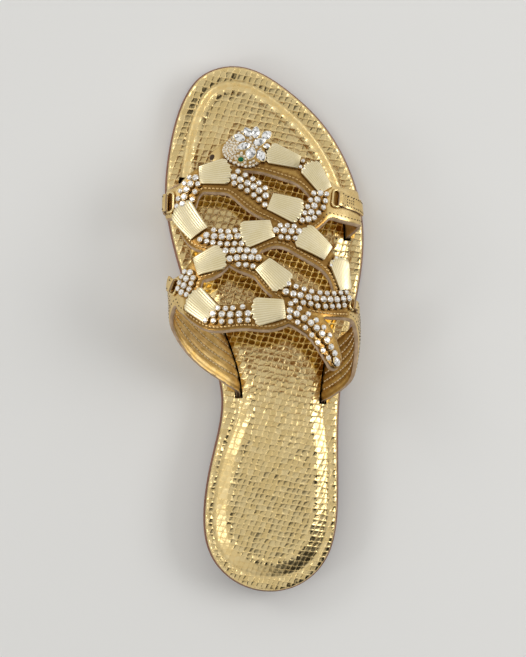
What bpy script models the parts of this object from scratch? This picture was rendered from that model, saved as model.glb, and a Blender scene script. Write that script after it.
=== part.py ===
"""Flat mule sandal, right shoe: crossing leather straps that follow one jewelled snake.

X runs across the foot (+X lateral), Y along it (+Y to the toe) and Z up from the floor.
Tables hold millimetres, or fractions of the shoe's own sizes; the finished meshes are in metres.
A place on the last is (round, along): round is -1 in the medial slot, 0 on the crest of the
foot and +1 in the lateral slot; along is 0 at the heel and 1 at the toe.
"""

import math

import bmesh
import bpy
import numpy as np

MM = 0.001

# Driving sizes
LENGTH = 250.0
BALL_WIDTH = 94.6
MIDLINE = -1.48  # X of the middle between the outermost medial and lateral faces
GAP = 0.3  # left between neighbouring pieces

# Sole, from the floor up
OUTSOLE_THICKNESS = 3.2
BORDER_TOP = 7.5  # above the outsole's underside
HEEL_TOP_PIECE = 3.0
HEEL_SEAT_INSET = 1.8  # from the outline, where the heel meets the outsole
HEEL_FLOOR_INSET = 2.6
TOP_PIECE_CHAMFER = 0.6
HEEL_END = 0.275  # the heel's breast, as a share of the length
BREAST_HOLLOW = 5.0
OUTLINE_POINTS = 80

# Upper
LEATHER = 2.2
WALL_ROOT_INSET = 6.9  # outer face of the leather where it enters a slot
SLOT_DEPTH = 3.4
CUTTER_RISE = 4.0  # how far a slot's cutter stands over the border
ROOT_DEPTH = 3.0
SLOT_CLEARANCE = 0.4
DOME_END = 0.58  # round at the widest point of the last
SLOT_TOP = 0.96  # round where the leather meets the border's top
STRAP_FILLET = 5.0
GRID_ROUND = 54
GRID_ALONG = 38
GRID_ALONG_SPAN = (0.335, 0.900)

# Ornament
FAN_PLEATS = 6
FAN_THICKNESS = 0.9
FAN_RIDGE = 0.7
FAN_BOW = 2.2
FAN_SCALLOP = 0.5
SEAT = 0.15  # extra lift that keeps a flat piece's middle clear of the curved leather
STONE_PITCH = 2.9
PLATE_THICKNESS = 0.9
STONE_HEIGHT = 1.5
WIRE = 0.6

# Outline of the sole: along, medial edge and lateral edge as shares of the ball width
TOE_TIP = -0.163
HEEL_TIP = 0.022
OUTLINE = (
    # along, medial, lateral
    (0.975, -0.343, 0.037),
    (0.955, -0.386, 0.113),
    (0.898, -0.452, 0.278),
    (0.822, -0.494, 0.408),
    (0.746, -0.505, 0.478),
    (0.670, -0.474, 0.500),
    (0.576, -0.402, 0.474),
    (0.500, -0.325, 0.431),
    (0.368, -0.224, 0.374),
    (0.260, -0.270, 0.364),
    (0.152, -0.314, 0.361),
    (0.082, -0.292, 0.328),
    (0.026, -0.183, 0.223),
)

# Height of the outsole's underside: heel seat, arch, flat tread under the ball, toe spring
RISE = (
    # along, height
    (0.00, 10.0),
    (0.12, 10.0),
    (0.26, 9.6),
    (0.40, 6.2),
    (0.52, 1.9),
    (0.60, 0.1),
    (0.64, 0.0),
    (0.70, 0.0),
    (0.76, 0.0),
    (0.88, 1.3),
    (1.00, 5.0),
)
TREAD = (0.60, 0.78)

# Steps of the outsole's and the footbed's sections, from the outside in
OUTSOLE_STEPS = (
    # inset, height above the underside
    (1.2, 0.0),
    (0.3, 0.8),
    (0.0, 1.6),
    (0.0, 2.9),
    (0.3, OUTSOLE_THICKNESS),
)
FOOTBED_STEPS = (
    # inset, height above the outsole's underside
    (0.9, OUTSOLE_THICKNESS + GAP),
    (0.9, 6.8),
    (1.5, BORDER_TOP),
    (6.1, 7.7),
    (6.7, 6.7),
    (9.0, 6.7),
    (9.7, 7.4),
    (12.0, 9.3),
    (14.2, 10.2),
    (16.0, 10.0),
)

# Slots of the footbed: side (-1 medial, +1 lateral) and where each starts and ends
SLOTS = (
    # side, from, to
    (-1, 0.688, 0.787),
    (1, 0.660, 0.768),
    (-1, 0.356, 0.507),
    (1, 0.340, 0.464),
)

# Sections of the last over the footbed
SECTIONS = (
    # along, crest z, crest x, medial x, medial z, lateral x, lateral z
    (0.30, 70.0, 4.0, -38.0, 38.0, 34.0, 30.0),
    (0.42, 67.0, 3.0, -44.5, 39.0, 41.5, 31.0),
    (0.50, 63.0, 2.0, -45.9, 38.0, 43.5, 31.0),
    (0.58, 56.0, 0.0, -46.8, 34.0, 43.2, 29.0),
    (0.66, 47.5, -2.0, -47.5, 29.0, 44.5, 26.0),
    (0.75, 39.5, -4.0, -47.5, 25.0, 43.4, 23.0),
    (0.85, 32.0, -6.0, -44.0, 20.0, 37.0, 20.0),
    (0.93, 27.0, -8.0, -40.0, 18.0, 27.0, 18.0),
)

# Straps of the upper, each a smooth band through its rows
STRAPS = {
    "head to lateral turn": (
        # round, along, half width
        (-0.180, 0.828, 3.0),
        (-0.120, 0.830, 6.5),
        (-0.050, 0.833, 8.2),
        (0.030, 0.827, 7.6),
        (0.105, 0.812, 6.6),
        (0.165, 0.799, 6.0),
        (0.222, 0.778, 6.3),
        (0.270, 0.752, 7.0),
    ),
    "lateral turn to medial turn": (
        (0.270, 0.748, 7.0),
        (0.205, 0.720, 7.0),
        (0.135, 0.706, 7.5),
        (0.085, 0.718, 7.5),
        (0.027, 0.730, 6.8),
        (-0.040, 0.752, 6.5),
        (-0.105, 0.778, 7.0),
        (-0.190, 0.784, 7.4),
        (-0.262, 0.779, 6.5),
        (-0.325, 0.758, 6.6),
        (-0.370, 0.735, 6.8),
    ),
    "medial turn to lateral fan": (
        (-0.375, 0.732, 6.8),
        (-0.330, 0.697, 7.0),
        (-0.270, 0.672, 6.4),
        (-0.180, 0.665, 6.2),
        (-0.100, 0.661, 7.0),
        (-0.020, 0.674, 7.4),
        (0.035, 0.679, 6.6),
        (0.085, 0.676, 6.6),
        (0.135, 0.668, 7.6),
        (0.185, 0.652, 7.2),
        (0.243, 0.632, 6.0),
        (0.318, 0.600, 6.2),
        (0.355, 0.560, 6.6),
    ),
    "lateral fan to rear medial turn": (
        (0.360, 0.548, 6.5),
        (0.275, 0.548, 6.6),
        (0.174, 0.552, 6.4),
        (0.080, 0.568, 6.2),
        (0.022, 0.595, 7.4),
        (-0.020, 0.617, 6.6),
        (-0.090, 0.632, 6.2),
        (-0.150, 0.645, 6.4),
        (-0.225, 0.623, 7.4),
        (-0.290, 0.610, 6.2),
        (-0.335, 0.585, 6.5),
        (-0.365, 0.560, 7.0),
    ),
    "rear medial turn to tail": (
        (-0.360, 0.560, 7.0),
        (-0.280, 0.540, 7.8),
        (-0.230, 0.525, 6.8),
        (-0.157, 0.525, 6.4),
        (-0.077, 0.528, 6.8),
        (0.000, 0.532, 8.0),
        (0.055, 0.537, 7.0),
        (0.115, 0.521, 6.2),
        (0.168, 0.502, 6.2),
        (0.220, 0.474, 5.8),
        (0.272, 0.442, 5.2),
    ),
    "front medial side": (
        (-0.360, 0.742, 8.0),
        (-0.470, 0.734, 7.0),
        (-0.600, 0.732, 6.8),
        (-0.850, 0.736, 9.0),
        (-1.100, 0.738, 10.2),
    ),
    "front lateral side": (
        (0.270, 0.742, 8.0),
        (0.420, 0.730, 8.2),
        (0.580, 0.725, 8.2),
        (0.850, 0.716, 9.6),
        (1.100, 0.712, 10.8),
    ),
    "medial quarter": (
        (-0.380, 0.578, 6.0),
        (-0.470, 0.567, 6.0),
        (-0.570, 0.552, 7.4),
        (-0.700, 0.524, 10.4),
        (-0.840, 0.468, 13.2),
        (-1.100, 0.412, 14.5),
    ),
    "lateral quarter": (
        (0.370, 0.543, 5.5),
        (0.450, 0.530, 5.2),
        (0.530, 0.504, 6.2),
        (0.620, 0.474, 8.8),
        (0.800, 0.430, 11.6),
        (1.100, 0.397, 12.0),
    ),
    "tail to quarter": (
        (0.272, 0.442, 4.0),
        (0.380, 0.440, 3.2),
        (0.540, 0.450, 5.0),
    ),
}

# Fans of the snake: middle of the scalloped end, middle of the straight end, both widths
FANS = (
    # wide round, wide along, narrow round, narrow along, wide width, narrow width
    (0.054, 0.827, 0.166, 0.809, 10.4, 6.4),
    (0.206, 0.802, 0.252, 0.762, 10.4, 7.0),
    (0.138, 0.715, 0.034, 0.735, 12.8, 8.6),
    (-0.126, 0.792, -0.258, 0.785, 12.8, 8.6),
    (-0.368, 0.722, -0.264, 0.675, 13.2, 9.0),
    (-0.076, 0.671, 0.033, 0.684, 13.4, 8.6),
    (0.142, 0.672, 0.250, 0.638, 13.6, 8.4),
    (0.306, 0.624, 0.350, 0.571, 10.4, 7.6),
    (-0.168, 0.632, -0.290, 0.613, 12.8, 9.0),
    (0.054, 0.580, -0.018, 0.618, 12.6, 8.6),
    (-0.318, 0.556, -0.230, 0.524, 13.2, 9.4),
    (-0.063, 0.529, 0.047, 0.535, 13.6, 9.0),
)

# Set stones between the fans: both ends of a row, how many rows, and how far it bows
STONES = (
    # start round, start along, end round, end along, rows, bow
    (0.236, 0.744, 0.190, 0.708, 3, 0.0),
    (-0.087, 0.780, 0.011, 0.737, 3, 0.0),
    (-0.314, 0.777, -0.342, 0.752, 3, 0.0),
    (-0.212, 0.676, -0.111, 0.671, 2, 0.0),
    (0.052, 0.677, 0.113, 0.673, 2, 0.0),
    (0.304, 0.547, 0.083, 0.563, 3, 1.0),
    (-0.120, 0.647, -0.050, 0.617, 3, 0.0),
    (-0.309, 0.599, -0.335, 0.580, 3, 0.0),
    (-0.195, 0.5235, -0.093, 0.5255, 3, 0.0),
    (0.094, 0.526, 0.244, 0.461, 3, 0.0),
)

# Metal loops at the turns, each with the tab that folds over its outer bar
LOOPS = {
    # round, along, degrees turned to the toe, length across the strap, depth, tab's length
    "front_medial": (-0.458, 0.733, 18.0, 11.0, 5.0, 9.0),
    "front_lateral": (0.312, 0.742, -12.0, 9.5, 4.6, 20.5),
    "rear_medial": (-0.430, 0.577, 22.0, 8.5, 4.6, 5.0),
    "rear_lateral": (0.392, 0.545, -24.0, 6.5, 4.4, 5.0),
}
LOOP_AIM = 0.02  # step in round that aims a loop outwards
TAB_THICKNESS = 1.0
TAB_OVERHANG = 0.2  # past the bar on both sides, before the tab turns down
TAB_FOLD = 2.4  # run over which it comes down to the leather
TAB_STEP = 3.5

HEAD_NOSE = (-0.150, 0.833)
HEAD_BACK = (0.036, 0.840)
HEAD_HALF_WIDTH = 10.0
HEAD_RIM = 1.2
HEAD_DOME = 2.4
EYE = (8.6, -6.4, 1.35)  # along the head from its nose, across it, radius
HEAD_TAPER = 0.42  # share of its width that the head loses at the nose
PEAR = (0.257, 0.451, 0.281, 0.436)

# name: colour, metallic, roughness
FINISHES = {
    "footbed_foil": ((0.78, 0.58, 0.26), 0.9, 0.28),
    "gold_leather": ((0.80, 0.60, 0.27), 0.85, 0.33),
    "satin_fan": ((0.86, 0.76, 0.52), 1.0, 0.30),
    "set_stones": ((0.90, 0.90, 0.90), 0.1, 0.08),
    "eye_stone": ((0.01, 0.28, 0.14), 0.0, 0.08),
    "gold_wire": ((0.80, 0.62, 0.30), 1.0, 0.22),
    "outsole_leather": ((0.16, 0.07, 0.04), 0.0, 0.50),
    "heel_leather": ((0.20, 0.09, 0.05), 0.0, 0.45),
    "heel_rubber": ((0.04, 0.03, 0.03), 0.0, 0.70),
}


# ---------------------------------------------------------------- curves
def spline(knots, values, closed=False):
    """Cubic curve through the values, one row for each knot; natural ends, or a closed loop."""
    knots = np.asarray(knots, float)
    values = np.asarray(values, float).reshape(len(knots), -1)
    last = len(knots) - 1
    step = np.diff(knots)
    left = np.zeros((last + 1, last + 1))
    right = np.zeros_like(values)
    for i in range(1, last):
        left[i, i - 1] = step[i - 1]
        left[i, i] = 2 * (step[i - 1] + step[i])
        left[i, i + 1] = step[i]
        right[i] = 6 * (
            (values[i + 1] - values[i]) / step[i] - (values[i] - values[i - 1]) / step[i - 1]
        )
    left[0, 0] = 1
    left[last, last] = 1
    if closed:
        left[0, last] = -1
        left[last, :2] = (2 * step[0], step[0])
        left[last, last - 1] = step[last - 1]
        left[last, last] = 2 * step[last - 1]
        right[last] = 6 * (
            (values[1] - values[0]) / step[0] - (values[last] - values[last - 1]) / step[last - 1]
        )
    bend = np.linalg.solve(left, right)

    def curve(at):
        at = np.atleast_1d(np.asarray(at, float))
        i = np.clip(np.searchsorted(knots, at) - 1, 0, last - 1)
        width = step[i][:, None]
        a = (knots[i + 1] - at)[:, None] / width
        b = 1 - a
        bending = (a**3 - a) * bend[i] + (b**3 - b) * bend[i + 1]
        return a * values[i] + b * values[i + 1] + bending * width**2 / 6

    return curve


def column_spline(rows):
    """Curve through a table whose first column is the knot."""
    return spline([row[0] for row in rows], [row[1:] for row in rows])


def sole_edge_curve():
    """X of the sole's edge by the angle from the toe, lateral side first."""
    angles = [math.acos(2 * row[0] - 1) for row in OUTLINE]
    knots = [0, *angles, math.pi, *(2 * math.pi - a for a in reversed(angles)), 2 * math.pi]
    lateral = [row[2] for row in OUTLINE]
    medial = [row[1] for row in reversed(OUTLINE)]
    return spline(knots, [TOE_TIP, *lateral, HEEL_TIP, *medial, TOE_TIP], closed=True)


EDGE = sole_edge_curve()
RISE_CURVE = column_spline(RISE)
SECTION_CURVE = column_spline(SECTIONS)


def edge_point(angle):
    """Points of the sole's outline; the angle is 0 at the toe and pi at the heel."""
    angle = np.asarray(angle, float)
    x = EDGE(angle % (2 * math.pi))[:, 0] * BALL_WIDTH
    return np.stack([x, LENGTH / 2 * np.cos(angle)], axis=1)


def inset_point(angle, inset):
    """Points of the outline moved inwards."""
    angle = np.asarray(angle, float)
    step = 0.001
    run = edge_point(angle + step) - edge_point(angle - step)
    run /= np.linalg.norm(run, axis=1)[:, None]
    inward = np.stack([run[:, 1], -run[:, 0]], axis=1)
    return edge_point(angle) + inward * inset


def rise(y):
    """Height of the outsole's underside, dead flat under the tread."""
    along = np.asarray(y, float) / LENGTH + 0.5
    height = np.maximum(RISE_CURVE(along)[:, 0], 0.0)
    flat = (along > TREAD[0]) & (along < TREAD[1])
    return np.where(flat, 0.0, height)


def root_table():
    """X of the leather's outer face at the slots for each Y, medial and lateral."""
    angle = np.linspace(0, math.pi, 801)
    lateral = inset_point(angle, WALL_ROOT_INSET)[::-1]
    medial = inset_point(2 * math.pi - angle, WALL_ROOT_INSET)[::-1]
    return medial, lateral


MEDIAL_ROOT, LATERAL_ROOT = root_table()


# ---------------------------------------------------------------- the last
def on_last(place):
    """Points of the upper's outer face at (round, along) places."""
    place = np.atleast_2d(np.asarray(place, float))
    around, along = place[:, 0], place[:, 1]
    crest_z, crest_x, medial_x, medial_z, lateral_x, lateral_z = SECTION_CURVE(along).T
    y = (along - 0.5) * LENGTH
    medial = around < 0
    wide_x = np.where(medial, medial_x, lateral_x)
    wide_z = np.where(medial, medial_z, lateral_z)
    root_x = np.where(
        medial,
        np.interp(y, MEDIAL_ROOT[:, 1], MEDIAL_ROOT[:, 0]),
        np.interp(y, LATERAL_ROOT[:, 1], LATERAL_ROOT[:, 0]),
    )
    root_z = rise(y) + BORDER_TOP
    reach = np.abs(around)
    turn = np.minimum(reach / DOME_END, 1) * math.pi / 2
    climb = np.clip((SLOT_TOP - reach) / (SLOT_TOP - DOME_END), 0, 1)
    sunk = np.maximum(reach - SLOT_TOP, 0) / (1 - SLOT_TOP) * ROOT_DEPTH
    over = reach <= DOME_END
    lean = climb * climb * (3 - 2 * climb)
    x = np.where(over, crest_x + (wide_x - crest_x) * np.sin(turn), root_x + (wide_x - root_x) * lean)
    z = np.where(over, wide_z + (crest_z - wide_z) * np.cos(turn), root_z + (wide_z - root_z) * climb - sunk)
    return np.stack([x, y, z], axis=1)


def tangents(place):
    """How a point of the last moves with round and with along."""
    step = 1e-4
    place = np.atleast_2d(np.asarray(place, float))
    by_round = (on_last(place + (step, 0)) - on_last(place - (step, 0))) / (2 * step)
    by_along = (on_last(place + (0, step)) - on_last(place - (0, step))) / (2 * step)
    return by_round, by_along


def lifted(place, lift):
    """Points above (or, with a negative lift, under) the upper's outer face."""
    by_round, by_along = tangents(place)
    normal = np.cross(by_round, by_along)
    normal /= np.linalg.norm(normal, axis=1)[:, None]
    return on_last(place) + normal * np.reshape(lift, (-1, 1))


class Line:
    """A straight line on the last, with millimetres run along it and across it."""

    def __init__(self, start, end):
        self.start = np.array(start, float)
        self.run = np.array(end, float) - self.start
        self.length = float(np.linalg.norm(on_last(end) - on_last(start)))
        by_round, by_along = (t[0] for t in tangents(self.start + self.run / 2))
        axis = by_round * self.run[0] + by_along * self.run[1]
        across = np.cross(np.cross(by_round, by_along), axis)
        across /= np.linalg.norm(across)
        basis = np.stack([by_round, by_along], axis=1)
        self.across = np.linalg.lstsq(basis, across, rcond=None)[0]

    def places(self, run, across):
        run = np.reshape(run, (-1, 1)) / self.length
        return self.start + self.run * run + self.across * np.reshape(across, (-1, 1))

    def points(self, run, across, lift):
        run, across, lift = np.broadcast_arrays(run, across, lift)
        return lifted(self.places(run, across), lift.reshape(-1)).reshape(*run.shape, 3)


# ---------------------------------------------------------------- solids
def material(finish):
    made = bpy.data.materials.get(finish)
    if made:
        return made
    colour, metallic, roughness = FINISHES[finish]
    made = bpy.data.materials.new(finish)
    made.use_nodes = True
    shader = made.node_tree.nodes["Principled BSDF"]
    shader.inputs["Base Color"].default_value = (*colour, 1)
    shader.inputs["Metallic"].default_value = metallic
    shader.inputs["Roughness"].default_value = roughness
    return made


def solid(name, points, faces, finish, crease=35.0):
    """One closed object from points in millimetres."""
    mesh = bpy.data.meshes.new(name)
    moved = (np.asarray(points, float).reshape(-1, 3) - (MIDLINE, 0, 0)) * MM
    mesh.from_pydata(moved.tolist(), [], [list(face) for face in faces])
    work = bmesh.new()
    work.from_mesh(mesh)
    bmesh.ops.recalc_face_normals(work, faces=work.faces[:])
    work.to_mesh(mesh)
    work.free()
    mesh.shade_smooth()
    mesh.set_sharp_from_angle(angle=math.radians(crease))
    mesh.materials.append(material(finish))
    made = bpy.data.objects.new(name, mesh)
    bpy.context.scene.collection.objects.link(made)
    return made


def sheet_faces(rows, columns, first=0):
    """Quads of a grid of points."""
    faces = []
    for i in range(rows - 1):
        for j in range(columns - 1):
            a = first + i * columns + j
            faces.append((a, a + 1, a + columns + 1, a + columns))
    return faces


def plate(name, top, bottom, finish, crease=25.0):
    """A slab between two grids of points."""
    rows, columns = top.shape[:2]
    count = rows * columns
    faces = sheet_faces(rows, columns)
    faces += [face[::-1] for face in sheet_faces(rows, columns, count)]
    rim = list(range(columns))
    rim += [i * columns + columns - 1 for i in range(1, rows)]
    rim += [(rows - 1) * columns + j for j in range(columns - 2, -1, -1)]
    rim += [i * columns for i in range(rows - 2, 0, -1)]
    for a, b in zip(rim, rim[1:] + rim[:1]):
        faces.append((b, a, a + count, b + count))
    points = np.concatenate([top.reshape(-1, 3), bottom.reshape(-1, 3)])
    return solid(name, points, faces, finish, crease)


def ring_faces(rings, count):
    """Bands of quads between closed rings of points."""
    faces = []
    for i in range(rings - 1):
        for j in range(count):
            a = i * count + j
            b = i * count + (j + 1) % count
            faces.append((a, b, b + count, a + count))
    return faces


def lens_cap(first, count):
    """Strips across a ring whose first point is the toe and whose half way point is the heel."""
    faces = [(first, first + 1, first + count - 1)]
    for j in range(1, count // 2 - 1):
        faces.append((first + j, first + j + 1, first + count - j - 1, first + count - j))
    middle = first + count // 2
    faces.append((middle - 1, middle, middle + 1))
    return faces


# ---------------------------------------------------------------- sole
def stepped_sole(name, steps, finish):
    """A layer of the sole whose section runs through the steps, all round the outline."""
    angles = np.arange(OUTLINE_POINTS) * 2 * math.pi / OUTLINE_POINTS
    rings = []
    for inset, height in steps:
        flat = inset_point(angles, inset)
        rings.append(np.column_stack([flat, rise(flat[:, 1]) + height]))
    faces = ring_faces(len(rings), OUTLINE_POINTS)
    faces += [face[::-1] for face in lens_cap(0, OUTLINE_POINTS)]
    faces += lens_cap((len(rings) - 1) * OUTLINE_POINTS, OUTLINE_POINTS)
    return solid(name, np.concatenate(rings), faces, finish)


def heel_ring(inset, points=25, hollow_points=7):
    """The heel's outline: round the back, then the hollow breast."""
    start = math.acos(2 * HEEL_END - 1)
    angles = np.linspace(start, 2 * math.pi - start, points)
    back = inset_point(angles, inset)
    share = np.linspace(0, 1, hollow_points + 2)[1:-1]
    breast = back[-1] + (back[0] - back[-1]) * share[:, None]
    breast[:, 1] -= BREAST_HOLLOW * 4 * share * (1 - share)
    return np.concatenate([back, breast])


def heel_layer(name, levels, finish):
    """A slab of the heel; each level is an inset and a function giving its height."""
    rings = []
    for inset, height in levels:
        flat = heel_ring(inset)
        rings.append(np.column_stack([flat, height(flat[:, 1])]))
    count = len(rings[0])
    faces = ring_faces(len(rings), count)
    faces.append(tuple(range(count - 1, -1, -1)))
    faces.append(tuple(range((len(rings) - 1) * count, len(rings) * count)))
    return solid(name, np.concatenate(rings), faces, finish)


def level(height):
    return lambda y: np.full(len(y), height)


def heel():
    """The block between the top piece and the outsole, a little narrower at the floor."""
    block = (
        (HEEL_FLOOR_INSET, level(HEEL_TOP_PIECE + GAP)),
        (HEEL_SEAT_INSET, lambda y: rise(y) - GAP),
    )
    heel_layer("heel", block, "heel_leather")
    top_piece = (
        (HEEL_FLOOR_INSET + TOP_PIECE_CHAMFER, level(0.0)),
        (HEEL_FLOOR_INSET, level(TOP_PIECE_CHAMFER)),
        (HEEL_FLOOR_INSET, level(HEEL_TOP_PIECE)),
    )
    heel_layer("heel_top_piece", top_piece, "heel_rubber")


def slot_cutter(name, side, start, end, steps=9):
    """A bar along the groove that cuts one slot."""
    angles = np.linspace(math.acos(2 * end - 1), math.acos(2 * start - 1), steps)
    if side < 0:
        angles = 2 * math.pi - angles
    outer = WALL_ROOT_INSET - SLOT_CLEARANCE
    inner = WALL_ROOT_INSET + LEATHER + SLOT_CLEARANCE
    corners = []
    for inset, height in (
        (outer, BORDER_TOP - SLOT_DEPTH),
        (inner, BORDER_TOP - SLOT_DEPTH),
        (inner, BORDER_TOP + CUTTER_RISE),
        (outer, BORDER_TOP + CUTTER_RISE),
    ):
        flat = inset_point(angles, inset)
        corners.append(np.column_stack([flat, rise(flat[:, 1]) + height]))
    points = np.stack(corners, axis=1).reshape(-1, 3)
    faces = ring_faces(steps, 4)
    faces.append((3, 2, 1, 0))
    faces.append(tuple(range(4 * steps - 4, 4 * steps)))
    cutter = solid(name, points, faces, "footbed_foil")
    cutter.hide_render = True
    cutter.display_type = "WIRE"
    return cutter


def sole():
    stepped_sole("outsole", OUTSOLE_STEPS, "outsole_leather")
    heel()
    bed = stepped_sole("footbed", FOOTBED_STEPS, "footbed_foil")
    for number, (side, start, end) in enumerate(SLOTS, 1):
        cut = bed.modifiers.new(f"slot {number}", "BOOLEAN")
        cut.operation = "DIFFERENCE"
        cut.solver = "EXACT"
        cut.object = slot_cutter(f"slot_cutter_{number}", side, start, end)


# ---------------------------------------------------------------- upper
def strap_line(rows, pieces=4):
    """Points and half widths along one strap."""
    table = np.array(rows, float)
    points = on_last(table[:, :2])
    knots = np.concatenate([[0], np.cumsum(np.linalg.norm(np.diff(points, axis=0), axis=1))])
    curve = spline(knots, table)
    sample = curve(np.linspace(0, knots[-1], pieces * (len(rows) - 1) + 1))
    return on_last(sample[:, :2]), sample[:, 2]


STRAP_LINES = [strap_line(rows) for rows in STRAPS.values()]


def outside_strap(points, line, half_width):
    """How far points lie outside one strap, negative inside it."""
    start, end = line[:-1], line[1:]
    run = end - start
    from_start = points[:, None] - start
    share = np.clip((from_start * run).sum(2) / (run * run).sum(1), 0, 1)
    gap = np.linalg.norm(from_start - share[..., None] * run, axis=2)
    width = half_width[:-1] + share * np.diff(half_width)
    return (gap - width).min(1)


def outside_upper(places):
    """How far places lie outside the joined straps, with rounded crotches."""
    points = on_last(places)
    total = None
    for line, half_width in STRAP_LINES:
        gap = outside_strap(points, line, half_width)
        if total is None:
            total = gap
            continue
        share = np.clip(0.5 + 0.5 * (gap - total) / STRAP_FILLET, 0, 1)
        total = gap * (1 - share) + total * share - STRAP_FILLET * share * (1 - share)
    return total


def crossing(inside, outside):
    """Where the straps' edge crosses the line from an inside place to an outside one."""
    near, far = np.array(inside, float), np.array(outside, float)
    for _ in range(7):
        middle = (near + far) / 2
        if outside_upper(middle)[0] < 0:
            near = middle
        else:
            far = middle
    return (near + far) / 2


def trimmed_grid():
    """The straps' flat pattern: grid cells, cut along the straps' edges."""
    around = np.linspace(-1, 1, GRID_ROUND + 1)
    along = np.linspace(*GRID_ALONG_SPAN, GRID_ALONG + 1)
    places = np.stack(np.meshgrid(around, along, indexing="ij"), axis=2)
    value = outside_upper(places.reshape(-1, 2)).reshape(places.shape[:2])
    snap_to_edge(places, value)
    points = []
    index = {}

    def corner(key, place):
        if key not in index:
            index[key] = len(points)
            points.append(place)
        return index[key]

    faces = []
    for i in range(GRID_ROUND):
        for j in range(GRID_ALONG):
            cell = [(i, j), (i + 1, j), (i + 1, j + 1), (i, j + 1)]
            if min(value[c] for c in cell) >= 0:
                continue
            face = []
            for a, b in zip(cell, cell[1:] + cell[:1]):
                if value[a] <= 0:
                    face.append(corner(a, places[a]))
                if value[a] * value[b] < 0:
                    low, high = (a, b) if value[a] < 0 else (b, a)
                    key = (min(a, b), max(a, b))
                    if key not in index:
                        corner(key, crossing(places[low], places[high]))
                    face.append(index[key])
            if len(face) > 2:
                faces.append(face)
    return np.array(points), faces


def snap_to_edge(places, value, near=0.28):
    """Moves grid corners that lie close to a strap's edge onto it, which leaves no slivers."""
    rows, columns = value.shape
    moves = {}
    for i in range(rows):
        for j in range(columns):
            for di, dj in ((1, 0), (-1, 0), (0, 1), (0, -1)):
                a, b = (i, j), (i + di, j + dj)
                if not (0 <= b[0] < rows and 0 <= b[1] < columns):
                    continue
                if value[a] * value[b] >= 0:
                    continue
                if di and i in (0, rows - 1):
                    continue
                share = value[a] / (value[a] - value[b])
                if share < near and share < moves.get(a, (1, None))[0]:
                    moves[a] = (share, b)
    for a, (_, b) in moves.items():
        low, high = (a, b) if value[a] < 0 else (b, a)
        moves[a] = crossing(places[low], places[high])
    for a, place in moves.items():
        places[a] = place
        value[a] = 0.0


def upper():
    """The leather wall: the trimmed pattern, given its thickness towards the foot."""
    places, faces = trimmed_grid()
    count = len(places)
    outer = on_last(places)
    inner = lifted(places, -LEATHER)
    edges = {}
    for face in faces:
        for a, b in zip(face, face[1:] + face[:1]):
            edges[(a, b)] = edges.get((a, b), 0) + 1
    all_faces = [tuple(face) for face in faces]
    all_faces += [tuple(a + count for a in reversed(face)) for face in faces]
    for a, b in edges:
        if (b, a) not in edges:
            all_faces.append((b, a, a + count, b + count))
    return solid("upper", np.concatenate([outer, inner]), all_faces, "gold_leather")


# ---------------------------------------------------------------- ornament
def fan(number, wide_end, narrow_end, wide_width, narrow_width):
    """A pleated metal fan: a scalloped wide end, a straight narrow end, ridges between."""
    line = Line(wide_end, narrow_end)
    across = np.linspace(-1, 1, 2 * FAN_PLEATS + 1)
    ridge = np.arange(2 * FAN_PLEATS + 1) % 2
    share = np.linspace(0, 1, 3)[:, None]
    bow = FAN_BOW * (1 - across**2) + FAN_SCALLOP * ridge
    run = line.length * share - (bow - FAN_BOW / 2) * (1 - share)
    sideways = across * (wide_width + (narrow_width - wide_width) * share) / 2
    lift = GAP + SEAT
    bottom = line.points(run, sideways, lift)
    top = line.points(run, sideways, lift + FAN_THICKNESS + FAN_RIDGE * ridge * (1 - 0.4 * share))
    return plate(f"fan_{number}", top, bottom, "satin_fan", 10.0)


def stones(number, start, end, rows, bow):
    """A setting plate with one raised stone on each of its cells."""
    line = Line(start, end)
    columns = max(2, round(line.length / STONE_PITCH))
    run = np.linspace(0, line.length, columns + 1)[:, None]
    across = (np.arange(rows + 1) - rows / 2) * STONE_PITCH
    bend = bow * 4 * (run / line.length) * (1 - run / line.length)
    lift = GAP + SEAT
    bottom = line.points(run, across + bend, lift)
    rim = line.points(run, across + bend, lift + PLATE_THICKNESS)
    middle_run = (run[1:] + run[:-1]) / 2
    middle_across = (across[1:] + across[:-1]) / 2
    middle_bend = (bend[1:] + bend[:-1]) / 2
    peaks = line.points(middle_run, middle_across + middle_bend, lift + PLATE_THICKNESS + STONE_HEIGHT)
    made_columns = rows + 1
    count = (columns + 1) * made_columns
    faces = []
    for i in range(columns):
        for j in range(rows):
            a = i * made_columns + j
            cell = (a, a + 1, a + made_columns + 1, a + made_columns)
            peak = 2 * count + i * rows + j
            for p, q in zip(cell, cell[1:] + cell[:1]):
                faces.append((p, q, peak))
            faces.append(tuple(c + count for c in reversed(cell)))
    border = list(range(made_columns))
    border += [i * made_columns + rows for i in range(1, columns + 1)]
    border += [columns * made_columns + j for j in range(rows - 1, -1, -1)]
    border += [i * made_columns for i in range(columns - 1, 0, -1)]
    for a, b in zip(border, border[1:] + border[:1]):
        faces.append((b, a, a + count, b + count))
    points = np.concatenate([rim.reshape(-1, 3), bottom.reshape(-1, 3), peaks.reshape(-1, 3)])
    return solid(f"stones_{number}", points, faces, "set_stones", 15.0)


def loop_line(around, along, turned):
    """A line through a loop's middle that runs outwards over the side of the foot."""
    angle = math.radians(turned)
    by_round, by_along = (np.linalg.norm(t[0]) for t in tangents((around, along)))
    outward = math.copysign(LOOP_AIM, around) * math.cos(angle)
    forward = LOOP_AIM * by_round / by_along * math.sin(angle)
    return Line((around, along), (around + outward, along + forward))


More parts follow.
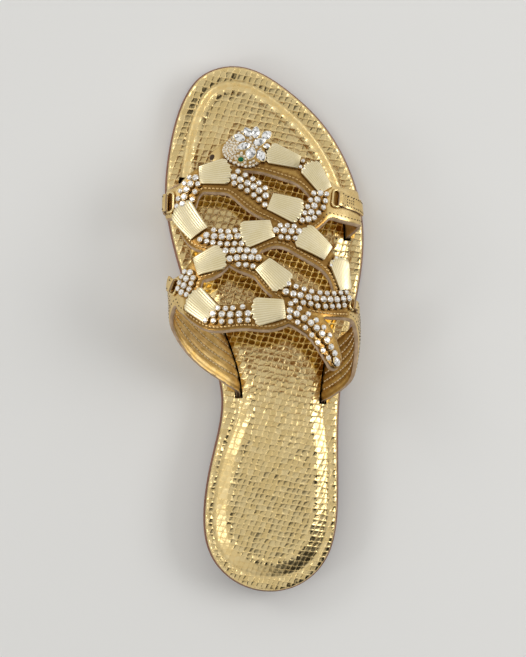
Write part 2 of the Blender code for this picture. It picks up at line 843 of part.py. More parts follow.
def loop(name, line, length, depth, corner_points=4, sides=6):
    """A rounded rectangle of wire lying on the strap."""
    radius = depth / 2 - WIRE
    centres = ((1, 1), (-1, 1), (-1, -1), (1, -1))
    path = []
    for quarter, (run_sign, across_sign) in enumerate(centres):
        for share in np.linspace(0, 1, corner_points):
            angle = (quarter + share) * math.pi / 2
            run = run_sign * (depth / 2 - WIRE - radius) + radius * math.cos(angle)
            across = across_sign * (length / 2 - WIRE - radius) + radius * math.sin(angle)
            path.append((run, across, math.cos(angle), math.sin(angle)))
    path = np.array(path)
    turn = np.arange(sides) * 2 * math.pi / sides
    run = path[:, :1] + WIRE * np.cos(turn) * path[:, 2:3]
    across = path[:, 1:2] + WIRE * np.cos(turn) * path[:, 3:4]
    points = line.points(run, across, GAP + WIRE + WIRE * np.sin(turn))
    count = len(path)
    faces = []
    for i in range(count):
        for j in range(sides):
            a = i * sides + j
            b = i * sides + (j + 1) % sides
            ahead = ((i + 1) % count - i) * sides
            faces.append((a, b, b + ahead, a + ahead))
    return solid(f"loop_{name}", points, faces, "gold_wire", 80.0)


def tab(name, line, length, depth, reach):
    """A leather tab that folds over the loop's outer bar and runs down the side."""
    bar = depth / 2 - WIRE
    over = 2 * WIRE + 2 * GAP
    landing = bar + WIRE + TAB_FOLD
    profile = (
        # run, lift of the underside
        (bar - WIRE - TAB_OVERHANG, over),
        (bar + WIRE + TAB_OVERHANG, over),
        (landing, GAP),
    )
    tail = np.linspace(landing, bar + reach, 1 + round(reach / TAB_STEP))[1:]
    run = np.array([row[0] for row in profile] + list(tail))[:, None]
    lift = np.array([row[1] for row in profile] + [GAP] * len(tail))[:, None]
    across = np.linspace(-0.5, 0.5, 4) * (length - 4 * WIRE)
    bottom = line.points(run, across, lift)
    top = line.points(run, across, lift + TAB_THICKNESS)
    return plate(f"tab_{name}", top, bottom, "gold_leather")


def head_height(share):
    """Height of the head's face from its rim (1) to its crown (0)."""
    return HEAD_RIM + HEAD_DOME * (1 - share**2)


def head_half_width(angle):
    """Half width of the head round its outline, from the back at 0 to the nose at pi."""
    return HEAD_HALF_WIDTH * (1 - HEAD_TAPER * ((1 - np.cos(angle)) / 2) ** 2)


def snake_head(points_round=20):
    """A domed drop: narrow at the nose, broad behind, with a round eye."""
    line = Line(HEAD_NOSE, HEAD_BACK)
    half = line.length / 2
    angle = np.arange(points_round) * 2 * math.pi / points_round
    out_run = half * np.cos(angle)
    out_across = head_half_width(angle) * np.sin(angle)
    shares = np.array([1.0, 0.7, 0.35])[:, None]
    lift = GAP + SEAT
    rings = [line.points(half + out_run, out_across, lift)]
    rings += list(line.points(half + out_run * shares, out_across * shares, lift + head_height(shares)))
    middle = line.points(np.full(2, half), 0.0, np.array([lift + head_height(0.0), lift]))
    points = np.concatenate([*rings, middle])
    faces = ring_faces(len(rings), points_round)
    top, under = len(rings) * points_round, len(rings) * points_round + 1
    last = (len(rings) - 1) * points_round
    for j in range(points_round):
        ahead = (j + 1) % points_round
        faces.append((last + j, last + ahead, top))
        faces.append((ahead, j, under))
    solid("snake_head", points, faces, "set_stones", 50.0)
    eye(line, lift)


def eye(line, lift, sides=10):
    """A small cut stone let on to the side of the head."""
    at_run, at_across, radius = EYE
    half = line.length / 2
    turn = np.arange(sides) * 2 * math.pi / sides
    rings = []
    for share, height in ((1.0, GAP), (1.0, GAP + 0.5), (0.55, GAP + 1.0)):
        run = at_run + radius * share * np.cos(turn)
        across = at_across + radius * share * np.sin(turn)
        width = head_half_width(np.arctan2(across, run - half))
        out = np.hypot((run - half) / half, across / width)
        rings.append(line.points(run, across, lift + head_height(out) + height))
    faces = ring_faces(3, sides)
    faces.append(tuple(range(sides - 1, -1, -1)))
    faces.append(tuple(range(2 * sides, 3 * sides)))
    solid("eye", np.concatenate(rings), faces, "eye_stone", 20.0)


def tail_stone(sides=12, radius=1.9):
    """A pear stone at the tail's end, its point towards the tail."""
    line = Line(PEAR[2:], PEAR[:2])
    turn = np.arange(sides) * 2 * math.pi / sides
    pull = ((1 + np.cos(turn)) / 2) ** 2
    rings = []
    for share, height in ((0.8, 0.0), (1.0, 0.9), (0.6, 1.9)):
        run = radius * share * (np.cos(turn) + 0.75 * pull)
        across = radius * share * np.sin(turn) * (1 - 0.35 * pull)
        rings.append(line.points(run, across, GAP + SEAT + height))
    faces = ring_faces(3, sides)
    faces.append(tuple(range(sides - 1, -1, -1)))
    faces.append(tuple(range(2 * sides, 3 * sides)))
    solid("tail_stone", np.concatenate(rings), faces, "set_stones", 20.0)


def ornament():
    for number, (wide_r, wide_a, narrow_r, narrow_a, wide, narrow) in enumerate(FANS, 1):
        fan(number, (wide_r, wide_a), (narrow_r, narrow_a), wide, narrow)
    for number, (start_r, start_a, end_r, end_a, rows, bow) in enumerate(STONES, 1):
        stones(number, (start_r, start_a), (end_r, end_a), rows, bow)
    for name, (around, along, turned, length, depth, reach) in LOOPS.items():
        line = loop_line(around, along, turned)
        loop(name, line, length, depth)
        tab(name, line, length, depth, reach)
    snake_head()
    tail_stone()


def clear_scene():
    for old in list(bpy.data.objects):
        bpy.data.objects.remove(old, do_unlink=True)


clear_scene()
sole()
upper()
ornament()
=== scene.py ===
"""Dresses the jewelled flat mule: foil footbed, gold leather straps, pleated fans, set stones.

Sizes are in millimetres and match the solids of the part; finished pieces are in metres.
A place on the last is (round, along): round is -1 in the medial slot, 0 on the crest of the
foot and +1 in the lateral slot; along is 0 at the heel and 1 at the toe.
"""

import math

import bmesh
import bpy
import numpy as np
from mathutils import Matrix, Vector


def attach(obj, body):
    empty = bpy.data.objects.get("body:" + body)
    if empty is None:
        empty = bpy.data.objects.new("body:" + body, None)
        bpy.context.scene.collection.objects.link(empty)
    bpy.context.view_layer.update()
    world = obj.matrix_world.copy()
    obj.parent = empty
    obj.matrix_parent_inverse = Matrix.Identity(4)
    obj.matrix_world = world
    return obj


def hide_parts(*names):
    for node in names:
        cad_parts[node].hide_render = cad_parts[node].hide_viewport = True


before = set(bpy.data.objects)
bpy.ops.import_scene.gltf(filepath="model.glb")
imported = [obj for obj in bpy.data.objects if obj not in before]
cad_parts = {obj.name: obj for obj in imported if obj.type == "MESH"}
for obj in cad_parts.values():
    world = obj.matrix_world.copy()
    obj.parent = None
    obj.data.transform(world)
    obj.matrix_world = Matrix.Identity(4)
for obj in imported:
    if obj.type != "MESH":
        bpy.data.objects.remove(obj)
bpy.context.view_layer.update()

MM = 0.001

# ---------------------------------------------------------------- sizes shared with the solids
LENGTH = 250.0
BALL_WIDTH = 94.6
MIDLINE = -1.48
GAP = 0.3
SEAT = 0.15
OUTSOLE_THICKNESS = 3.2
BORDER_TOP = 7.5
HEEL_TOP_PIECE = 3.0
HEEL_END = 0.275
BREAST_HOLLOW = 5.0
HEEL_SEAT_INSET = 1.8
HEEL_FLOOR_INSET = 2.6
TOP_PIECE_CHAMFER = 0.6
LEATHER = 2.2
WALL_ROOT_INSET = 6.9
SLOT_DEPTH = 3.4
ROOT_DEPTH = 3.0
SLOT_CLEARANCE = 0.4
DOME_END = 0.58
SLOT_TOP = 0.96
STRAP_FILLET = 1.6
ORNAMENT_LIFT = GAP + SEAT

TOE_TIP = -0.163
HEEL_TIP = 0.022
OUTLINE = (
    # along, medial, lateral
    (0.975, -0.343, 0.037),
    (0.955, -0.386, 0.113),
    (0.898, -0.452, 0.278),
    (0.822, -0.494, 0.408),
    (0.746, -0.505, 0.478),
    (0.670, -0.474, 0.500),
    (0.576, -0.402, 0.474),
    (0.500, -0.325, 0.431),
    (0.368, -0.224, 0.374),
    (0.260, -0.270, 0.364),
    (0.152, -0.314, 0.361),
    (0.082, -0.292, 0.328),
    (0.026, -0.183, 0.223),
)
RISE = (
    # along, height of the outsole's underside
    (0.00, 10.0),
    (0.12, 10.0),
    (0.26, 9.6),
    (0.40, 6.2),
    (0.52, 1.9),
    (0.60, 0.1),
    (0.64, 0.0),
    (0.70, 0.0),
    (0.76, 0.0),
    (0.88, 1.3),
    (1.00, 5.0),
)
TREAD = (0.60, 0.78)
SLOTS = (
    # side, from, to
    (-1, 0.688, 0.787),
    (1, 0.660, 0.768),
    (-1, 0.356, 0.507),
    (1, 0.340, 0.464),
)
SECTIONS = (
    # along, crest z, crest x, medial x, medial z, lateral x, lateral z
    (0.30, 70.0, 4.0, -38.0, 38.0, 34.0, 30.0),
    (0.42, 67.0, 3.0, -44.5, 39.0, 41.5, 31.0),
    (0.50, 63.0, 2.0, -45.9, 38.0, 43.5, 31.0),
    (0.58, 56.0, 0.0, -46.8, 34.0, 43.2, 29.0),
    (0.66, 47.5, -2.0, -47.5, 29.0, 44.5, 26.0),
    (0.75, 39.5, -4.0, -47.5, 25.0, 43.4, 23.0),
    (0.85, 32.0, -6.0, -44.0, 20.0, 37.0, 20.0),
    (0.93, 27.0, -8.0, -40.0, 18.0, 27.0, 18.0),
)
STRAPS = {
    "head to lateral turn": (
        # round, along, half width
        (-0.180, 0.828, 3.0),
        (-0.120, 0.830, 6.5),
        (-0.050, 0.833, 8.2),
        (0.030, 0.827, 7.6),
        (0.105, 0.812, 6.6),
        (0.165, 0.799, 6.0),
        (0.222, 0.778, 6.3),
        (0.270, 0.752, 7.0),
    ),
    "lateral turn to medial turn": (
        (0.270, 0.748, 7.0),
        (0.205, 0.720, 7.0),
        (0.135, 0.706, 7.5),
        (0.085, 0.718, 7.5),
        (0.027, 0.730, 6.8),
        (-0.040, 0.752, 6.5),
        (-0.105, 0.778, 7.0),
        (-0.190, 0.784, 7.4),
        (-0.262, 0.779, 6.5),
        (-0.325, 0.758, 6.4),
        (-0.370, 0.735, 5.8),
    ),
    "medial turn to lateral fan": (
        (-0.375, 0.732, 5.4),
        (-0.330, 0.697, 5.2),
        (-0.270, 0.672, 5.8),
        (-0.180, 0.665, 6.2),
        (-0.100, 0.661, 7.0),
        (-0.020, 0.674, 7.4),
        (0.035, 0.679, 6.6),
        (0.085, 0.676, 6.6),
        (0.135, 0.668, 7.6),
        (0.185, 0.652, 7.2),
        (0.243, 0.632, 6.0),
        (0.318, 0.600, 6.2),
        (0.355, 0.560, 6.6),
    ),
    "lateral fan to rear medial turn": (
        (0.360, 0.548, 6.5),
        (0.275, 0.548, 6.6),
        (0.174, 0.552, 6.4),
        (0.080, 0.568, 6.2),
        (0.022, 0.595, 7.4),
        (-0.020, 0.617, 6.6),
        (-0.090, 0.632, 6.2),
        (-0.150, 0.645, 6.4),
        (-0.225, 0.623, 7.4),
        (-0.290, 0.610, 6.2),
        (-0.335, 0.585, 6.5),
        (-0.365, 0.560, 7.0),
    ),
    "rear medial turn to tail": (
        (-0.360, 0.560, 7.0),
        (-0.280, 0.540, 7.8),
        (-0.230, 0.525, 6.8),
        (-0.157, 0.525, 6.4),
        (-0.077, 0.528, 6.8),
        (0.000, 0.532, 8.0),
        (0.055, 0.537, 7.0),
        (0.122, 0.523, 6.3),
        (0.181, 0.506, 6.5),
        (0.233, 0.478, 6.2),
        (0.281, 0.448, 5.2),
    ),
    "front medial side": (
        (-0.360, 0.742, 8.0),
        (-0.470, 0.734, 7.0),
        (-0.600, 0.732, 6.8),
        (-0.850, 0.736, 9.0),
        (-1.100, 0.738, 10.2),
    ),
    "front lateral side": (
        (0.270, 0.742, 8.0),
        (0.420, 0.730, 8.2),
        (0.580, 0.725, 8.2),
        (0.850, 0.716, 9.6),
        (1.100, 0.712, 10.8),
    ),
    "medial quarter": (
        (-0.380, 0.578, 6.0),
        (-0.470, 0.567, 6.0),
        (-0.570, 0.552, 7.4),
        (-0.700, 0.524, 10.4),
        (-0.840, 0.468, 13.2),
        (-1.100, 0.412, 14.5),
    ),
    "lateral quarter": (
        (0.370, 0.543, 5.5),
        (0.450, 0.530, 5.2),
        (0.530, 0.504, 6.2),
        (0.620, 0.474, 8.8),
        (0.800, 0.430, 11.6),
        (1.100, 0.397, 12.0),
    ),
}
FANS = (
    # wide round, wide along, narrow round, narrow along, wide width, narrow width
    (0.054, 0.827, 0.166, 0.809, 10.4, 6.4),
    (0.206, 0.802, 0.263, 0.757, 10.4, 7.4),
    (0.138, 0.715, 0.034, 0.735, 12.8, 8.6),
    (-0.126, 0.792, -0.258, 0.785, 12.8, 8.6),
    (-0.368, 0.722, -0.264, 0.675, 13.2, 9.0),
    (-0.076, 0.671, 0.033, 0.684, 13.4, 8.6),
    (0.142, 0.672, 0.250, 0.638, 13.6, 8.4),
    (0.306, 0.624, 0.350, 0.571, 10.4, 7.6),
    (-0.168, 0.632, -0.290, 0.613, 12.8, 9.0),
    (0.054, 0.580, -0.018, 0.618, 12.6, 8.6),
    (-0.318, 0.556, -0.230, 0.524, 13.2, 9.4),
    (-0.063, 0.529, 0.047, 0.535, 13.6, 9.0),
)
LOOPS = {
    # round, along, degrees turned to the toe, length across the strap, depth, tab's length
    "front_medial": (-0.454, 0.735, -8.0, 10.6, 5.0, 9.0),
    "front_lateral": (0.312, 0.742, -12.0, 9.5, 4.6, 20.5),
    "rear_medial": (-0.430, 0.577, 22.0, 8.5, 4.6, 5.0),
    "rear_lateral": (0.392, 0.545, -24.0, 6.5, 4.4, 5.0),
}
LOOP_AIM = 0.02
LONG_TAB = 15.0
WIRE = 0.6
TAB_THICKNESS = 1.0
TAB_OVERHANG = 0.2
TAB_FOLD = 2.4
FAN_THICKNESS = 0.9
FAN_BOW = 2.2
HEAD_NOSE = (-0.148, 0.829)
HEAD_BACK = (0.038, 0.836)
HEAD_HALF_WIDTH = 10.0
HEAD_TAPER = 0.42
HEAD_RIM = 1.2
HEAD_DOME = 2.4
EYE = (8.4, -5.4, 1.35)
EYE_STONES = 9
TIP_HOLE = (-0.200, 0.820)
TAIL_PEAR = (0.257, 0.451, 0.281, 0.436)

QUARTERS = {
    # where the corded part starts and ends, round the last
    "medial quarter": (-0.50, -0.955),
    "lateral quarter": (0.47, 0.955),
}

# ---------------------------------------------------------------- sizes of the fine work
SOLE_POINTS = 720
PAD_STEPS = 38
SCALE_WIDE = 3.12
SCALE_LONG = 3.05
SCALE_LEAN = 0.38
HEEL_SHRINK = 0.22
ROW_SLOPE = 0.15
BORDER_FINENESS = 1.06
PAD_REACH = 16.0
PAD_HEIGHT = 10.05
PAD_CROWN = 0.25
PAD_AXIS = 0.86
SLOPE_START = 7.6
PATTERN_ROUND = 250
PATTERN_ALONG = 168
PATTERN_SPAN = (0.335, 0.900)
EDGE_SOFTENING = 0.32
FRONT_TRIM = 0.8
HEAD_STRAP_SHIFT = 1.5
CROSSING_END = 0.37
CUT_EDGE_FLARE = 0.95
WELT_INSET = 1.55
WELT_PITCH = 1.85
WELT_BEAD = (0.76, 0.46, 0.44)
# The next two: half width of the painted shade along the welt, and how far the painted shade reaches
# round the ornament
WELT_CHANNEL = 1.6
ORNAMENT_SHADE = 2.4
PINHOLE_INSET = 1.8
PINHOLE_PITCH = 2.0
PINHOLE = (0.44, 0.28, 0.12)
CORD_STITCH_PITCH = 1.8
CORD_STITCH = (0.72, 0.34, 0.32)
CORD_WAVES = 3.25
CORD_DEPTH = 0.42
CUT_EDGE_LAYERS = (
    # share of the thickness, reach beyond the edge, share of the flare
    (0.22, 0.12, 0.30),
    (0.5, 0.16, 0.68),
    (0.78, 0.12, 0.95),
)
CORD_VALLEYS = (-0.615, -0.308, 0.0, 0.308, 0.615)
FRONT_STRAPS = 0.69
QUARTER_FRONT = 0.62
LATERAL_WELT_END = 0.235
# Where the painted amber shade of the front crossings ends, round the last
LATERAL_AMBER_END = 0.250
MEDIAL_AMBER_END = 0.310
EDGE_STEP = 2e-4
FAN_PLEATS = 11
FAN_GROOVE = 0.15
FAN_TEETH = 5
FAN_TOOTH = 0.9
LARGE_STONE = 1.58
SMALL_STONE = 1.30
TINY_STONE = 0.80
SPACER_STONE = 0.95
CUP_HEIGHT = 0.72
HEAD_FLATNESS = 0.80
HEAD_SIDES = 72

# Rows of set stones: stone radius, how many, and the places the row runs through
STONE_ROWS = (
    # behind the lateral turn
    (SMALL_STONE, 5, (0.204, 0.750), (0.176, 0.728), (0.146, 0.699)),
    (LARGE_STONE, 5, (0.232, 0.750), (0.202, 0.728), (0.172, 0.701)),
    (SMALL_STONE, 5, (0.264, 0.749), (0.242, 0.726), (0.194, 0.704)),
    # behind the head
    (SMALL_STONE, 5, (-0.080, 0.791), (-0.025, 0.777), (0.022, 0.759)),
    (LARGE_STONE, 6, (-0.100, 0.780), (-0.048, 0.769), (0.019, 0.745)),
    (SMALL_STONE, 6, (-0.099, 0.768), (-0.048, 0.754), (0.014, 0.728)),
    # front medial turn
    (SMALL_STONE, 5, (-0.304, 0.780), (-0.356, 0.756), (-0.380, 0.727)),
    (LARGE_STONE, 5, (-0.282, 0.779), (-0.322, 0.760), (-0.350, 0.730)),
    (SMALL_STONE, 3, (-0.262, 0.768), (-0.278, 0.752), (-0.292, 0.738)),
    # middle, medial side
    (SMALL_STONE, 4, (-0.194, 0.680), (-0.150, 0.677), (-0.106, 0.679)),
    (LARGE_STONE, 5, (-0.225, 0.671), (-0.160, 0.667), (-0.100, 0.668)),
    (SMALL_STONE, 7, (-0.258, 0.663), (-0.170, 0.655), (-0.088, 0.655)),
    # middle, lateral side
    (SMALL_STONE, 3, (0.062, 0.689), (0.088, 0.688), (0.114, 0.686)),
    (LARGE_STONE, 4, (0.046, 0.679), (0.086, 0.679), (0.128, 0.677)),
    (SMALL_STONE, 3, (0.060, 0.667), (0.086, 0.666), (0.112, 0.665)),
    # middle, under the medial rows
    (LARGE_STONE, 5, (-0.147, 0.641), (-0.098, 0.642), (-0.049, 0.640)),
    (LARGE_STONE, 5, (-0.134, 0.626), (-0.084, 0.629), (-0.033, 0.628)),
    (SMALL_STONE, 3, (-0.108, 0.616), (-0.080, 0.615), (-0.052, 0.612)),
    # behind the lateral fan
    (SMALL_STONE, 9, (0.072, 0.580), (0.152, 0.568), (0.238, 0.563), (0.345, 0.566)),
    (LARGE_STONE, 10, (0.056, 0.565), (0.130, 0.557), (0.230, 0.551), (0.356, 0.554)),
    (SMALL_STONE, 8, (0.092, 0.549), (0.148, 0.544), (0.220, 0.539), (0.325, 0.543)),
    # rear medial turn
    (SMALL_STONE, 4, (-0.344, 0.603), (-0.370, 0.590), (-0.395, 0.573)),
    (LARGE_STONE, 4, (-0.322, 0.600), (-0.345, 0.588), (-0.372, 0.568)),
    (SMALL_STONE, 4, (-0.303, 0.592), (-0.318, 0.578), (-0.344, 0.561)),
    # rear, medial side
    (SMALL_STONE, 4, (-0.202, 0.537), (-0.155, 0.536), (-0.108, 0.538)),
    (LARGE_STONE, 5, (-0.222, 0.526), (-0.155, 0.524), (-0.090, 0.526)),
    (SMALL_STONE, 6, (-0.257, 0.514), (-0.175, 0.512), (-0.092, 0.514)),
    # tail
    (SMALL_STONE, 6, (0.072, 0.545), (0.122, 0.530), (0.176, 0.513), (0.232, 0.486)),
    (LARGE_STONE, 9, (0.066, 0.531), (0.118, 0.518), (0.187, 0.493), (0.259, 0.454)),
    (SMALL_STONE, 7, (0.060, 0.519), (0.112, 0.504), (0.165, 0.479), (0.228, 0.446)),
    # between neighbouring fans
    (SPACER_STONE, 2, (0.182, 0.8115), (0.192, 0.8030)),
    (SPACER_STONE, 2, (0.166, 0.8000), (0.180, 0.7960)),
    (SPACER_STONE, 3, (0.262, 0.6145), (0.275, 0.6215), (0.290, 0.629)),
    (SPACER_STONE, 2, (0.291, 0.6165), (0.309, 0.6235)),
)

# Marquise crystals of the head, like petals round one middle: place, half length, half width
PETAL_MIDDLE = (-0.006, 0.8415)
PETALS = (
    (-0.068, 0.8525, 2.8, 2.05),
    (-0.051, 0.8360, 3.0, 1.85),
    (-0.024, 0.8235, 3.0, 2.45),
    (0.016, 0.8205, 2.9, 2.35),
    (-0.030, 0.8635, 2.6, 2.10),
    (0.006, 0.8635, 2.8, 2.15),
    (0.048, 0.8585, 2.5, 2.15),
    (0.014, 0.8450, 3.4, 1.90),
    (0.043, 0.8385, 1.5, 1.2),
)

# Soft creases of the straps: from, to, depth, half width
CREASES = (
    (-0.62, 0.560, -0.80, 0.468, 0.40, 2.6),
    (-0.70, 0.548, -0.88, 0.480, 0.30, 2.0),
    (-0.47, 0.586, -0.66, 0.500, 0.26, 2.2),
    (0.58, 0.500, 0.78, 0.422, 0.38, 2.4),
    (0.52, 0.520, 0.80, 0.450, 0.28, 2.0),
    (-0.52, 0.722, -0.54, 0.748, 0.30, 1.8),
    (-0.80, 0.716, -0.82, 0.760, 0.26, 2.2),
    (0.60, 0.710, 0.62, 0.742, 0.28, 2.0),
    (0.84, 0.700, 0.85, 0.744, 0.24, 2.2),
    (-0.02, 0.540, 0.02, 0.508, 0.22, 2.4),
    (-0.30, 0.690, -0.24, 0.660, 0.22, 2.0),
    (0.20, 0.700, 0.26, 0.736, 0.20, 2.2),
)


# ---------------------------------------------------------------- numbers, curves and the last
def unit(value):
    """The value kept between 0 and 1."""
    return np.clip(value, 0, 1)


def eased(value):
    """From 0 to 1 with a smooth start and end."""
    share = unit(value)
    return share * share * (3 - 2 * share)


def turns(count, shift=0.0):
    """Angles evenly spaced round a circle."""
    return (np.arange(count) + shift) * 2 * math.pi / count


def around_loop(loop):
    """Neighbouring pairs round a closed loop."""
    return zip(loop, loop[1:] + loop[:1])


def lengths_along(points):
    """Distance from the first point of a row to each of its points."""
    return np.concatenate([[0], np.cumsum(np.linalg.norm(np.diff(points, axis=0), axis=1))])


def spline(knots, values, closed=False):
    """Cubic curve through the values, one row for each knot; natural ends, or a closed loop."""
    knots = np.asarray(knots, float)
    values = np.asarray(values, float).reshape(len(knots), -1)
    last = len(knots) - 1
    step = np.diff(knots)
    left = np.zeros((last + 1, last + 1))
    right = np.zeros_like(values)
    for i in range(1, last):
        left[i, i - 1] = step[i - 1]
        left[i, i] = 2 * (step[i - 1] + step[i])
        left[i, i + 1] = step[i]
        right[i] = 6 * (
            (values[i + 1] - values[i]) / step[i] - (values[i] - values[i - 1]) / step[i - 1]
        )
    left[0, 0] = 1
    left[last, last] = 1
    if closed:
        left[0, last] = -1
        left[last, :2] = (2 * step[0], step[0])
        left[last, last - 1] = step[last - 1]
        left[last, last] = 2 * step[last - 1]
        right[last] = 6 * (
            (values[1] - values[0]) / step[0] - (values[last] - values[last - 1]) / step[last - 1]
        )
    bend = np.linalg.solve(left, right)

    def curve(at):
        at = np.atleast_1d(np.asarray(at, float))
        i = np.clip(np.searchsorted(knots, at) - 1, 0, last - 1)
        width = step[i][:, None]
        a = (knots[i + 1] - at)[:, None] / width
        b = 1 - a
        bending = (a**3 - a) * bend[i] + (b**3 - b) * bend[i + 1]
        return a * values[i] + b * values[i + 1] + bending * width**2 / 6

    return curve


def column_spline(rows):
    """Curve through a table whose first column is the knot."""
    return spline([row[0] for row in rows], [row[1:] for row in rows])


def sole_edge_curve():
    """X of the sole's edge by the angle from the toe, lateral side first."""
    angles = [math.acos(2 * row[0] - 1) for row in OUTLINE]
    knots = [0, *angles, math.pi, *(2 * math.pi - a for a in reversed(angles)), 2 * math.pi]
    lateral = [row[2] for row in OUTLINE]
    medial = [row[1] for row in reversed(OUTLINE)]
    return spline(knots, [TOE_TIP, *lateral, HEEL_TIP, *medial, TOE_TIP], closed=True)


EDGE = sole_edge_curve()
RISE_CURVE = column_spline(RISE)
SECTION_CURVE = column_spline(SECTIONS)


def edge_point(angle):
    """Points of the sole's outline; the angle is 0 at the toe and pi at the heel."""
    angle = np.asarray(angle, float)
    x = EDGE(angle % (2 * math.pi))[:, 0] * BALL_WIDTH
    return np.stack([x, LENGTH / 2 * np.cos(angle)], axis=1)


def inset_point(angle, inset):
    """Points of the outline moved inwards."""
    angle = np.asarray(angle, float)
    step = 0.001
    run = edge_point(angle + step) - edge_point(angle - step)
    run /= np.linalg.norm(run, axis=1)[:, None]
    inward = np.stack([run[:, 1], -run[:, 0]], axis=1)
    return edge_point(angle) + inward * inset


def rise(y):
    """Height of the outsole's underside, dead flat under the tread."""
    along = np.asarray(y, float) / LENGTH + 0.5
    height = np.maximum(RISE_CURVE(along)[:, 0], 0.0)
    flat = (along > TREAD[0]) & (along < TREAD[1])
    return np.where(flat, 0.0, height)


def side_table(inset):
    """X of a line along the sole at that inset for each Y, medial and lateral."""
    angle = np.linspace(0, math.pi, 801)
    lateral = inset_point(angle, inset)[::-1]
    medial = inset_point(2 * math.pi - angle, inset)[::-1]
    return medial, lateral


MEDIAL_ROOT, LATERAL_ROOT = side_table(WALL_ROOT_INSET)


def on_last(place):
    """Points of the upper's outer face at (round, along) places."""
    place = np.atleast_2d(np.asarray(place, float))
    around, along = place[:, 0], place[:, 1]
    crest_z, crest_x, medial_x, medial_z, lateral_x, lateral_z = SECTION_CURVE(along).T
    y = (along - 0.5) * LENGTH
    medial = around < 0
    wide_x = np.where(medial, medial_x, lateral_x)
    wide_z = np.where(medial, medial_z, lateral_z)
    root_x = np.where(
        medial,
        np.interp(y, MEDIAL_ROOT[:, 1], MEDIAL_ROOT[:, 0]),
        np.interp(y, LATERAL_ROOT[:, 1], LATERAL_ROOT[:, 0]),
    )
    root_z = rise(y) + BORDER_TOP
    reach = np.abs(around)
    turn = np.minimum(reach / DOME_END, 1) * math.pi / 2
    climb = unit((SLOT_TOP - reach) / (SLOT_TOP - DOME_END))
    sunk = np.maximum(reach - SLOT_TOP, 0) / (1 - SLOT_TOP) * ROOT_DEPTH
    over = reach <= DOME_END
    dome_x = crest_x + (wide_x - crest_x) * np.sin(turn)
    dome_z = wide_z + (crest_z - wide_z) * np.cos(turn)
    x = np.where(over, dome_x, root_x + (wide_x - root_x) * eased(climb))
    z = np.where(over, dome_z, root_z + (wide_z - root_z) * climb - sunk)
    return np.stack([x, y, z], axis=1)


def tangents(place):
    """How a point of the last moves with round and with along."""
    step = 1e-4
    place = np.atleast_2d(np.asarray(place, float))
    by_round = (on_last(place + (step, 0)) - on_last(place - (step, 0))) / (2 * step)
    by_along = (on_last(place + (0, step)) - on_last(place - (0, step))) / (2 * step)
    return by_round, by_along


def normals(place):
    """Outward directions of the last."""
    normal = np.cross(*tangents(place))
    return normal / np.linalg.norm(normal, axis=1)[:, None]


def lifted(place, lift):
    """Points above (or, with a negative lift, under) the upper's outer face."""
    return on_last(place) + normals(place) * np.reshape(lift, (-1, 1))


def as_places(by_round, by_along, direction):
    """How far a direction moves a place round and along."""
    basis = np.stack([by_round, by_along], axis=1)
    return np.linalg.lstsq(basis, direction, rcond=None)[0]


class Line:
    """A straight line on the last, with millimetres run along it and across it."""

    def __init__(self, start, end):
        self.start = np.array(start, float)
        self.run = np.array(end, float) - self.start
        self.length = float(np.linalg.norm(on_last(end) - on_last(start)))
        by_round, by_along = (t[0] for t in tangents(self.start + self.run / 2))
        axis = by_round * self.run[0] + by_along * self.run[1]
        across = np.cross(np.cross(by_round, by_along), axis)
        self.across = as_places(by_round, by_along, across / np.linalg.norm(across))

    def measure(self, places):
        """Millimetres along the line and across it, of places on the last."""
        basis = np.stack([self.run / self.length, self.across], axis=1)
        return np.linalg.solve(basis, (np.asarray(places, float) - self.start).T)

    def places(self, run, across):
        """Places at millimetres along the line and across it."""
        run = np.reshape(run, (-1, 1)) / self.length
        return self.start + self.run * run + self.across * np.reshape(across, (-1, 1))

    def points(self, run, across, lift):
        """Points over the last, at millimetres along the line, across it and above the last."""
        run, across, lift = np.broadcast_arrays(run, across, lift)
        return lifted(self.places(run, across), lift.reshape(-1)).reshape(*run.shape, 3)


def sampled(table, count):
    """Evenly spaced rows of the smooth line through a table that starts with round and along."""
    table = np.array(table, float)
    knots = lengths_along(on_last(table[:, :2]))
    return spline(knots, table)(np.linspace(0, knots[-1], count))


FAN_LINES = [(Line(row[:2], row[2:4]), *row[4:]) for row in FANS]


# ---------------------------------------------------------------- nodes and shader maths
class Value:
    """A number that runs through a node tree; Python's operators add Math nodes."""

    def __init__(self, tree, socket):
        self.tree = tree
        self.socket = socket

    def maths(self, operation, *others):
        inputs = dict(enumerate((self, *others)))
        return self.tree.value(self.tree.add("ShaderNodeMath", {"operation": operation}, inputs))

    def __add__(self, other):
        return self.maths("ADD", other)

    __radd__ = __add__

    def __sub__(self, other):
        return self.maths("SUBTRACT", other)

    def __rsub__(self, other):
        return self.maths("MULTIPLY_ADD", -1.0, other)

    def __mul__(self, other):
        return self.maths("MULTIPLY", other)

    __rmul__ = __mul__

    def __truediv__(self, other):
        return self.maths("DIVIDE", other)

    def __pow__(self, other):
        return self.maths("POWER", other)

    def __abs__(self):
        return self.maths("ABSOLUTE")

    def floor(self):
        return self.maths("FLOOR")

    def fraction(self):
        return self.maths("FRACT")

    def sine(self):
        return self.maths("SINE")

    def ease(self, low, high):
        """0 below low, 1 above high, and smooth between."""
        settings = {"interpolation_type": "SMOOTHSTEP"}
        return self.tree.value(self.tree.add("ShaderNodeMapRange", settings, {0: self, 1: low, 2: high}))


class NodeTree:
    """A node tree, with one method that adds any node."""

    def __init__(self, tree):
        self.tree = tree

    def add(self, kind, settings=None, sockets=None):
        """A new node: its settings come first, then values or links for its sockets."""
        node = self.tree.nodes.new(kind)
        for key, value in (settings or {}).items():
            setattr(node, key, value)
        for key, value in (sockets or {}).items():
            self.plug(node.inputs[key], value)
        return node

    def plug(self, socket, value):
        if isinstance(value, Value):
            value = value.socket
        if isinstance(value, bpy.types.NodeSocket):
            self.tree.links.new(value, socket)
        else:
            socket.default_value = value

    def value(self, node, output=0):
        return Value(self, node.outputs[output])


